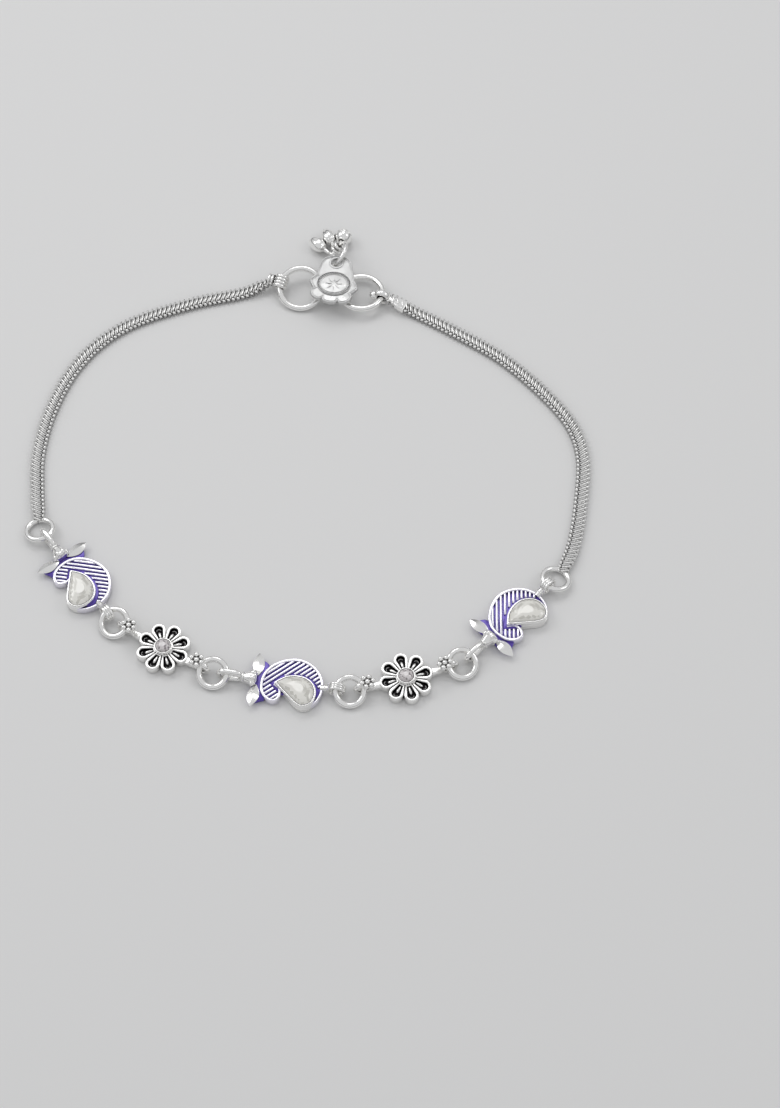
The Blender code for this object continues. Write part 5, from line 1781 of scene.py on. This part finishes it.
@dataclass
class SideChain:
    """One flat plaited chain, its end ring and its holder on the clasp ring."""

    layout: AnkletLayout
    side: Side
    shares: tuple[Point, ...]
    start_heading: float
    clasp_direction: float
    width: float = 2.1 * MM
    thickness: float = 0.95 * MM
    pitch: float = 0.80 * MM
    slant: float = radians(30.0)
    edge_bead: float = 0.48 * MM
    bars: tuple[tuple[float, float, float, float], ...] = (
        (-0.30, 0.40, 0.09 * MM, 0.0),
        (0.20, 0.56, -0.03 * MM, 0.16 * MM),
    )
    bar_height: float = 0.52
    bar_bevel: float = 0.44
    # Painted shade: the bars' undersides, which face the plait's middle, and the whole low bar go
    # dark
    underside_painted_shade: float = 0.62
    low_bar_painted_shade: float = 0.26
    underside_depth: float = 0.05 * MM
    bead_lift: float = 0.05 * MM
    bead_stretch: tuple[float, float, float] = (1.42, 0.98, 1.05)
    layer_lift: float = 0.20
    rise: float = 6.0 * MM
    lap: float = 0.35 * MM
    rope_length: float = 0.0
    rope_width: float = 1.35 * MM
    knot_wire: float = 0.66 * MM
    knot_turns: int = 4
    knot_pitch: float = 0.55 * MM
    knot_lean: float = radians(4.0)
    coil_reaches: tuple[float, ...] = (1.5 * MM, 2.0 * MM)
    coil_radius: float = 0.78 * MM
    coil_wire: float = 0.5 * MM
    holder_clearance: float = 0.13 * MM
    neck_wire: float = 0.84 * MM
    neck_bead: float = 1.65 * MM
    neck_stretch: float = 1.45
    cap_edge: tuple[Point, ...] = (
        (0.1 * MM, 0.55 * MM), (0.9 * MM, 0.62 * MM), (1.9 * MM, 0.98 * MM), (3.0 * MM, 1.06 * MM),
        (3.4 * MM, 0.98 * MM)
    )
    cap: Layer = Layer(0.0, -0.46 * MM, 0.5 * MM, 0.24 * MM, 3)
    cap_turn: float = radians(-14.0)
    cap_pitch: float = radians(9.0)

    def link(self) -> Piece:
        """Shape one link of the plait: a high bar, a low one and a bead at the inner edge, its
        bars marked with painted shade.
        """
        reach = self.width / cos(self.slant) / 2
        turn = -1 if self.side is Side.LEFT else 1
        parts = []
        for aside, across, lift, short in self.bars:
            deselect()
            place = (aside * self.pitch, -turn * (self.edge_bead - short) / 2, lift)
            bpy.ops.mesh.primitive_cube_add(size=1.0, location=place)
            bar = bpy.context.active_object
            bar.scale = (across * self.pitch, 2 * reach - self.edge_bead - short,
                         self.thickness * self.bar_height)
            bpy.ops.object.transform_apply(location=True, rotation=False, scale=True)
            bevel = bar.modifiers.new("round", "BEVEL")
            bevel.width = across * self.pitch * self.bar_bevel
            bevel.segments = 1
            bpy.ops.object.modifier_apply(modifier="round")
            # Painted shade on the bars' undersides and on the low bar, seen through the plait's
            # gaps
            low = lift - self.underside_depth
            painted_shade_share = self.low_bar_painted_shade if short else 0.0
            mark(bar, "recess", lambda spot: self.underside_painted_shade if spot.z < low else painted_shade_share)
            parts.append(bar)
        place = (0.0, turn * (reach - self.edge_bead / 2), self.bead_lift)
        bpy.ops.mesh.primitive_uv_sphere_add(segments=8, ring_count=4,
                                             radius=self.edge_bead / 2, location=place)
        bead = bpy.context.active_object
        bpy.ops.object.mode_set(mode="EDIT")
        bpy.ops.transform.resize(value=self.bead_stretch, center_override=place)
        close_mesh()
        bpy.ops.object.transform_apply(location=True, rotation=False, scale=True)
        parts.append(bead)
        return close_up(solder("link", parts))

    def route(self) -> tuple[list[tuple[Vector, float]], float, float, float, list[Piece]]:
        """Walk the chain from its end ring's wire to the clasp ring's wire.

        Returns:
            Evenly spaced points with their distances, the whole length, the heights of both
            ends, and the pieces that hold the clasp ring.
        """
        layout = self.layout
        ring_frame = layout.end_ring_frame(self.side)
        clasp = layout.clasp_ring_frame(self.side)
        start, _ = wire_point(ring_frame, layout.end_radius, self.start_heading)
        held, tangent = wire_point(clasp, layout.clasp_radius, self.clasp_direction)
        outward = Vector(on_circle(1.0, self.clasp_direction))
        holder, radius = self.holder(held, tangent, outward)
        end = Vector((held.x, held.y)) + outward * radius
        end_ring = layout.left_end if self.side is Side.LEFT else layout.right_end
        chord = Vector((clasp.translation.x, clasp.translation.y)) - end_ring
        across = Vector((-chord.y, chord.x))
        middle = [end_ring + chord * along + across * aside for along, aside in self.shares]
        points = [(start.x, start.y), *[tuple(spot) for spot in middle], tuple(end)]
        fine = [Vector(spot) for spot in smooth_line(points, 24, False)]
        lengths = [0.0]
        for first, second in zip(fine, fine[1:]):
            lengths.append(lengths[-1] + (second - first).length)
        count = round(lengths[-1] / self.pitch)
        spots = []
        span = 0
        for number in range(count + 1):
            goal = lengths[-1] * number / count
            while span < len(fine) - 2 and lengths[span + 1] < goal:
                span += 1
            share = (goal - lengths[span]) / (lengths[span + 1] - lengths[span])
            spots.append((fine[span].lerp(fine[span + 1], share), goal))
        return spots, lengths[-1], start.z + self.lap, held.z, holder

    def holder(
        self, point: Vector, tangent: Vector, outward: Vector
    ) -> tuple[list[Piece], float]:
        """Wrap the knot or the thick loop round the clasp ring.

        Args:
            point: the middle of the clasp ring's wire there.
            tangent: the wire's direction.
            outward: the direction away from the clasp, in plan.

        Returns:
            The pieces, and how far their wire's middle is from the clasp ring's.
        """
        turn = wrap_frame(point, tangent)
        base = self.layout.clasp_ring_wire / 2 + self.holder_clearance
        if self.side is Side.LEFT:
            radius = base + self.knot_wire / 2
            pattern = spun_ring("turn", radius, self.knot_wire, 36, 12)
            turns = []
            for number in range(self.knot_turns):
                slide = (number - (self.knot_turns - 1) / 2) * self.knot_pitch
                lean = turned(self.knot_lean, "X")
                turns.append(twin(pattern, turn @ shifted(0, 0, slide) @ lean))
            scrap([pattern])
            along = Vector((*outward, 0.0))
            for reach in self.coil_reaches:
                coil = spun_ring("coil", self.coil_radius, self.coil_wire, 32, 10)
                turns.append(set_down(coil, wrap_frame(point + along * reach, along)))
            return turns, radius
        radius = base + self.neck_wire / 2
        wide = Matrix.Scale(self.neck_stretch, 4, (0.0, 0.0, 1.0))
        loop = set_down(spun_ring("loop", radius, self.neck_wire, 36, 16), turn @ wide)
        bead = grain_ball("bead", self.neck_bead, 24)
        inner = point - Vector((*outward, 0.0)) * (radius + self.neck_wire / 3)
        edge = [(along, -across) for along, across in self.cap_edge]
        edge += reversed(self.cap_edge)
        line = smooth_line(edge, 4, True, (0, 4, 5, 9))
        cap = self.cap.over("cap", [line])
        lie = Matrix.Translation(point + Vector((*outward, 0.0)) * radius)
        lie = lie @ turned(atan2(outward.y, outward.x) + self.cap_turn)
        set_down(cap, lie @ turned(self.cap_pitch, "Y"))
        return [loop, cap, set_down(bead, Matrix.Translation(inner))], radius

    def build(self) -> None:
        """Build the chain with its end ring and holder."""
        layout = self.layout
        spots, length, low, high, holder = self.route()
        link = self.link()
        level = self.thickness / 2
        links = []
        for number, (spot, distance) in enumerate(spots):
            before = spots[max(0, number - 1)][0]
            after = spots[min(len(spots) - 1, number + 1)][0]
            heading = atan2(after.y - before.y, after.x - before.x)
            height = level + (low - level) * ease(1 - distance / self.rise)
            height += (high - level) * ease(1 - (length - distance) / self.rise)
            rope = 0.0
            if self.rope_length:
                rope = ease((distance - (length - self.rope_length)) / (self.rope_length / 2))
            narrow = 1 + (self.rope_width / self.width - 1) * rope
            squeeze = min(1.0, 0.72 + min(distance, length - distance) / self.width * 0.28)
            lean = self.slant if self.side is Side.RIGHT else -self.slant
            for turn, drop in ((lean, self.layer_lift), (-lean, -self.layer_lift)):
                lie = shifted(spot.x, spot.y, height + drop * self.thickness)
                lie = lie @ turned(heading + turn)
                size = Matrix.Diagonal((1.0, narrow * squeeze, 1.0, 1.0))
                flip = turned(pi if drop < 0 else 0.0, "X")
                links.append(twin(link, lie @ size @ flip))
        scrap([link])
        ring = spun_ring("ring", layout.end_radius, layout.end_ring_wire, 64, 16)
        set_down(ring, layout.end_ring_frame(self.side))
        name = f"{self.side.value}_chain"
        chain = smooth(solder("plait", links), 50)
        publish(chain, f"{name}_plait", PLAITED, Slot.SILVER, [name])
        ends = smooth(solder("ends", [ring, *holder]))
        publish(ends, f"{name}_ends", DRAWN, Slot.SILVER, [name])


# Clasp and dangles


@dataclass
class Clasp:
    """Two rings, a scalloped tag with a raised oval field, and the hook under it."""

    layout: AnkletLayout
    tag_width: float = 8.4 * MM
    thickness: float = 0.6 * MM
    shift: float = 0.5 * MM
    notch_radius: float = 3.55 * MM
    top_reach: float = 5.95 * MM
    bottom_reach: float = 3.95 * MM
    corner_reach: float = 4.35 * MM
    lobe_turn: float = radians(-8.0)
    field_width: float = 5.8 * MM
    field_depth: float = 4.8 * MM
    field_raise: float = 0.25 * MM
    hole_diameter: float = 1.8 * MM
    hole_reach: float = 4.4 * MM
    milling: int = 42
    mill_grain: float = 0.34 * MM
    mill_reach: float = 0.44
    mill_lift: float = 0.12 * MM
    rays: int = 8
    ray_line: tuple[Point, ...] = (
        (0.35 * MM, 0.0), (0.75 * MM, -0.12 * MM), (1.4 * MM, 0.0), (0.75 * MM, 0.12 * MM)
    )
    rounding: float = 0.16 * MM
    collar_width: float = 0.32 * MM
    collar_lift: float = 0.12 * MM
    ovals: tuple[tuple[float, float, float], ...] = ((1.0, 0.95, 1.0), (0.80, 0.75, 0.9))
    borders: tuple[Point, ...] = ((0.08 * MM, 0.22 * MM), (0.32 * MM, 0.44 * MM))
    border_lift: float = 0.09 * MM
    sink: float = 0.2 * MM

    def bottom(self) -> float:
        """Give the height of the tag's underside."""
        return (self.layout.clasp_level + self.layout.hook_radius + self.layout.hook_wire / 2
                - self.sink)

    def outline(self) -> list[Point]:
        """Give the scalloped edge: five lobes below, the side ones pointed, and the top lobe."""
        line = []
        side, corner = self.tag_width / 2, self.corner_reach
        half = pi / 8
        for lobe, reach in enumerate((side, corner, self.bottom_reach, corner, side)):
            middle = pi + self.lobe_turn + 2 * half * lobe
            for turn in (-1.0, -0.92, -0.8, -0.6, -0.4, -0.2, 0.0, 0.2, 0.4, 0.6, 0.8, 0.92):
                swell = 1 - abs(turn) if reach == side else sqrt(1 - turn * turn)
                radius = self.notch_radius + (reach - self.notch_radius) * swell
                line.append(on_circle(radius, middle + turn * half))
        line.append(on_circle(self.notch_radius, middle + half))
        shield = [(across * self.top_reach, up * self.top_reach) for across, up in TAG_SHIELD]
        return line + smooth_line(shield, 4, False)

    def oval(self, share: float) -> list[Point]:
        """Give an oval, as a share of the raised field's size."""
        return [
            (x * self.field_width / 2 * share, y * self.field_depth / 2 * share)
            for x, y in circle_outline(1.0, 64)
        ]

    def ornament(self, top: float) -> list[Piece]:
        """Make the milled ring of the field and the plain rays in its middle."""
        height = top + self.field_raise * 0.8
        grain = grain_ball("grain", self.mill_grain, 10)
        rim = circle_outline(1.0, self.milling)
        parts = []
        for x, y in rim:
            along = x * self.field_width * self.mill_reach
            across = y * self.field_depth * self.mill_reach
            parts.append(twin(grain, shifted(along, across, top + self.mill_lift)))
        scrap([grain])
        ray = flat_form("ray", [self.ray_line], top, height + 0.06 * MM, 0.03 * MM, 2)
        for number in range(self.rays):
            turn = turned(2 * pi * number / self.rays)
            parts.append(twin(ray, turn))
        scrap([ray])
        return parts

    def tag(self) -> Piece:
        """Make the tag: its plate, borders, ringed field, collar and ornament."""
        bottom = self.bottom()
        top = bottom + self.thickness
        radius = self.hole_diameter / 2
        hole, collar = (
            [(x, y + self.hole_reach) for x, y in circle_outline(size, 40)]
            for size in (radius, radius + self.collar_width)
        )
        plate = flat_form("plate", [self.outline(), hole], bottom, top, self.rounding, 3)
        field_plate = flat_form("field", [self.oval(0.94)], bottom + 0.2 * MM,
                                top + self.field_raise * 0.55, 0.1 * MM, 3)
        rings = []
        for outer, inner, lift in self.ovals:
            rings.append(flat_form("ring", [self.oval(outer), self.oval(inner)],
                                   bottom + 0.2 * MM, top + self.field_raise * lift,
                                   0.05 * MM, 2))
        collar_ring = flat_form("collar", [collar, hole], bottom + 0.1 * MM,
                                top + self.collar_lift, 0.1 * MM, 3)
        parts = [plate, field_plate, *rings, collar_ring, *self.ornament(top)]
        for insets in self.borders:
            lines = [offset(self.outline(), -inset) for inset in insets]
            parts.append(flat_form("border", lines, top - 0.1 * MM, top + self.border_lift,
                                   0.035 * MM, 2))
        for part in parts:
            set_down(part, shifted(self.shift, 0.0))
        tag = smooth(solder("tag", parts))
        return set_down(tag, self.layout.clasp_frame())

    def hook(self) -> Piece:
        """Bend the two plain loops under the tag."""
        layout = self.layout
        eye_at = layout.clasp_ring_spacing / 2 - layout.clasp_radius
        loops = []
        for side in (1, -1):
            loop = spun_ring("loop", layout.hook_radius, layout.hook_wire, 40, 16)
            set_down(loop, turned(pi / 2, "X"))
            place = shifted(side * eye_at, 0.0, layout.clasp_level)
            loops.append(set_down(loop, place))
        return set_down(smooth(solder("hook", loops)), layout.clasp_frame())

    def build(self) -> None:
        """Build the rings, the tag and the hook."""
        pattern = spun_ring("ring", self.layout.clasp_radius, self.layout.clasp_ring_wire, 96, 20)
        for side in Side:
            ring = twin(pattern, self.layout.clasp_ring_frame(side))
            name = f"clasp_ring_{side.value}"
            publish(smooth(ring), f"{name}_wire", DRAWN, Slot.SILVER, [name])
        scrap([pattern])
        publish(self.tag(), "clasp_tag_plate", FROSTED, Slot.SILVER, ["clasp_tag"])
        publish(self.hook(), "clasp_hook", DRAWN, Slot.SILVER, ["clasp_tag"])


@dataclass
class Dangles:
    """The ring in the tag's hole with two buds and a ball."""

    layout: AnkletLayout
    clasp: Clasp
    ring_diameter: float = 5.2 * MM
    ring_wire: float = 0.72 * MM
    pitch: float = radians(10.0)
    roll: float = radians(-35.0)
    eye_wire: float = 0.5 * MM
    eye_clearance: float = 0.16 * MM
    neck_diameter: float = 0.7 * MM
    bud_neck: float = 1.0 * MM
    bud_length: float = 3.3 * MM
    bud_diameter: float = 2.4 * MM
    bud_petals: int = 5
    bud_groove: float = 0.14
    bud_collar: float = 0.3 * MM
    ball_neck: float = 0.55 * MM
    ball_diameter: float = 2.9 * MM
    seam_wire: float = 0.16 * MM
    cap_radius: float = 0.62 * MM
    cap_wire: float = 0.34 * MM
    cap_drop: float = 0.18 * MM
    hung: tuple[tuple[str, float, float], ...] = (
        ("dangle_bud_1", -55.0, 54.0),
        ("dangle_bud_2", -25.0, 29.0),
        ("dangle_ball", 0.0, -10.5),
    )

    def radius(self) -> float:
        """Give the radius of the ring's wire middle."""
        return (self.ring_diameter - self.ring_wire) / 2

    def ring_frame(self) -> Matrix:
        """Give the ring's frame: X points out from the tag's hole."""
        clasp = self.clasp
        hole = (clasp.shift, clasp.hole_reach, clasp.bottom() + clasp.thickness / 2)
        return (
            self.layout.clasp_frame()
            @ Matrix.Translation(hole)
            @ turned(pi / 2)
            @ turned(self.pitch, "Y")
            @ turned(pi / 2 - self.roll, "X")
            @ shifted(self.radius(), 0.0)
        )

    def hung_frame(self, ring_angle: float, tip: float, direction: float, length: float) -> Matrix:
        """Give the frame of a dangle.

        Args:
            ring_angle: where its eye hangs on the ring.
            tip: height that its body rests at.
            direction: the way it lies, in plan.
            length: from its eye to that height.

        Returns:
            A frame with its origin in the eye, Z down the body and X along the ring's wire.
        """
        ring = self.ring_frame()
        local = Vector((*on_circle(self.radius(), ring_angle), 0.0))
        tangent = ring.to_3x3() @ Vector((-local.y, local.x, 0.0)).normalized()
        eye = ring @ local
        drop = max(-0.95, min(0.95, (tip - eye.z) / length))
        down = Vector((*on_circle(sqrt(1 - drop * drop), direction), drop))
        across = (tangent - down * tangent.dot(down)).normalized()
        turn = Matrix((across, down.cross(across), down)).transposed().to_4x4()
        return Matrix.Translation(eye) @ turn

    def eye(self, neck: float) -> tuple[list[Piece], float]:
        """Make a dangle's eye and neck, and give where its body starts."""
        radius = self.ring_wire / 2 + self.eye_clearance + self.eye_wire / 2
        loop = spun_ring("eye", radius, self.eye_wire, 32, 12)
        set_down(loop, turned(pi / 2, "Y"))
        end = radius + neck
        path = [Vector((0.0, 0.0, radius + (end + self.eye_wire - radius) * share / 4))
                for share in range(5)]
        stem = wire_form("stem", path, self.neck_diameter, False)
        return [loop, stem], end

    def bud(self, start: float) -> list[Piece]:
        """Shape a bud bell: a small cap, swelling petals and a blunt point."""
        full = self.bud_diameter / 2
        profile = [(full * out, start + self.bud_length * along) for out, along in BUD_PROFILE]
        body = lathe("bud", profile, 40)

        def petals(spot: Vector) -> Vector:
            around = atan2(spot.y, spot.x)
            share = (spot.z - start) / self.bud_length
            depth = ease((share - 0.25) / 0.4) * (1 - ease((share - 0.9) / 0.1))
            groove = abs(cos(self.bud_petals / 2 * around)) ** 6
            keep = 1 - self.bud_groove * depth * groove
            return Vector((spot.x * keep, spot.y * keep, spot.z))

        reshape(body, petals)
        collar = spun_ring("collar", full * 0.62, self.bud_collar, 32, 10)
        set_down(collar, shifted(0.0, 0.0, start + self.bud_length * 0.12))
        return [body, collar]

    def ball(self, start: float) -> list[Piece]:
        """Shape the ball bell: two pressed halves with a seam, and a cap."""
        reach = self.ball_diameter / 2
        body = grain_ball("ball", self.ball_diameter, 40)
        set_down(body, shifted(0.0, 0.0, start + reach))
        seam = spun_ring("seam", reach * 0.985, self.seam_wire, 56, 8)
        set_down(seam, shifted(0.0, 0.0, start + reach))
        cap = spun_ring("cap", self.cap_radius, self.cap_wire, 32, 10)
        set_down(cap, shifted(0.0, 0.0, start + self.cap_drop))
        return [body, seam, cap]

    def build(self) -> None:
        """Build the ring and the three dangles."""
        ring_frame = self.ring_frame()
        heel = atan2(ring_frame.col[0][1], ring_frame.col[0][0])
        ring = set_down(spun_ring("ring", self.radius(), self.ring_wire, 64, 16), ring_frame)
        publish(smooth(ring), "dangle_ring_wire", DRAWN, Slot.SILVER, ["dangle_ring"])
        for name, ring_angle, spread in self.hung:
            is_ball = name == "dangle_ball"
            parts, start = self.eye(self.ball_neck if is_ball else self.bud_neck)
            body = self.ball(start) if is_ball else self.bud(start)
            size = self.ball_diameter if is_ball else self.bud_diameter
            reach = self.ball_diameter / 2 if is_ball else self.bud_length / 2
            tip = size / 2 + self.layout.floor_gap
            direction = heel + radians(spread)
            turn = self.hung_frame(radians(ring_angle), tip, direction, start + reach)
            dangle = set_down(smooth(solder(name, [*body, *parts])), turn)
            publish(dangle, f"{name}_bell", POLISHED, Slot.SILVER, [name])


# Studio


@dataclass
class Studio:
    """The pale surface, the soft lights and the camera."""

    layout: AnkletLayout
    floor_size: float = 12.0
    camera_aside: float = 16.87 * MM
    camera_back: float = -184.3 * MM
    camera_height: float = 360.3 * MM
    camera_tilt: float = radians(30.0)
    focal_share: float = 2600 / 1108
    lights: tuple[tuple[str, tuple[float, float, float], float, float], ...] = (
        ("softbox_left", (-0.34, 0.16, 0.40), 0.24, 0.38),
        ("softbox_right", (0.36, 0.05, 0.34), 0.14, 0.12),
        ("softbox_back", (-0.02, 0.29, 0.44), 0.20, 0.26),
    )
    floor_drop: float = 0.02 * MM
    floor_colour: Colour = (0.79, 0.787, 0.782)
    floor_roughness: float = 0.5
    room_low: Colour = (0.05, 0.05, 0.055)
    room_high: Colour = (0.72, 0.725, 0.735)
    room_steps: tuple[float, float] = (0.02, 0.34)
    room_strength: float = 0.85
    sensor: float = 36.0

    def surface(self) -> None:
        """Lay the pale surface."""
        deselect()
        bpy.ops.mesh.primitive_plane_add(size=self.floor_size, location=(0, 0, -self.floor_drop))
        floor = bpy.context.active_object
        floor.name = "surface"
        made = bpy.data.materials.new("pale_surface")
        made.use_nodes = True
        shader = made.node_tree.nodes["Principled BSDF"]
        shader.inputs["Base Color"].default_value = (*self.floor_colour, 1.0)
        shader.inputs["Roughness"].default_value = self.floor_roughness
        floor.data.materials.append(made)

    def lamps(self) -> None:
        """Hang the soft lights and set the pale room round them."""
        for name, spot, size, power in self.lights:
            light = bpy.data.lights.new(name, "AREA")
            light.size = size
            light.energy = power
            lamp = put_in(name, light)
            lamp.location = spot
            lamp.rotation_euler = (-Vector(spot)).to_track_quat("-Z", "Y").to_euler()
        world = bpy.data.worlds.new("studio_room")
        bpy.context.scene.world = world
        world.use_nodes = True
        wiring = Wiring(world.node_tree)
        background = world.node_tree.nodes["Background"]
        place = wiring.add("ShaderNodeTexCoord")
        split = wiring.add("ShaderNodeSeparateXYZ")
        wiring.join(place.outputs["Generated"], split.inputs["Vector"])
        share = wiring.steps(split.outputs["Z"], *self.room_steps)
        sky = wiring.blend(share, self.room_low, self.room_high)
        wiring.join(sky, background.inputs["Color"])
        background.inputs["Strength"].default_value = self.room_strength
        bpy.context.scene.view_settings.view_transform = "Standard"

    def camera(self) -> None:
        """Set the camera where the photograph was taken from."""
        middle = (self.layout.ring_centres[1] + self.layout.ring_centres[2]) / 2
        lens = bpy.data.cameras.new("camera")
        lens.sensor_fit = "VERTICAL"
        lens.sensor_height = self.sensor
        lens.lens = self.sensor * self.focal_share
        lens.clip_start = 0.01
        eye = put_in("camera", lens)
        eye.location = (middle.x + self.camera_aside, middle.y + self.camera_back,
                        self.camera_height)
        eye.rotation_euler = (self.camera_tilt, 0.0, 0.0)
        bpy.context.scene.camera = eye

    def build(self) -> None:
        """Set up the whole studio."""
        self.surface()
        self.lamps()
        self.camera()


def main() -> None:
    """Build the anklet's looks in order."""
    logging.basicConfig(level=logging.INFO, format="%(message)s")
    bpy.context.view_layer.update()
    layout = AnkletLayout()
    Studio(layout).build()
    paisleys = [at for at, kind in enumerate(layout.kinds) if kind is Kind.PAISLEY]
    flowers = [at for at, kind in enumerate(layout.kinds) if kind is Kind.FLOWER]
    Paisley(layout).build(paisleys)
    Flower(layout).build(flowers)
    JumpRings(layout).build()
    SideChain(
        layout, Side.LEFT, LEFT_CHAIN_ROUTE, radians(98.0), radians(162.0),
        rope_length=3.2 * MM,
    ).build()
    SideChain(
        layout, Side.RIGHT, RIGHT_CHAIN_ROUTE, radians(53.0), radians(-14.6)
    ).build()
    clasp = Clasp(layout)
    clasp.build()
    Dangles(layout, clasp).build()


if __name__ == "__main__":
    main()
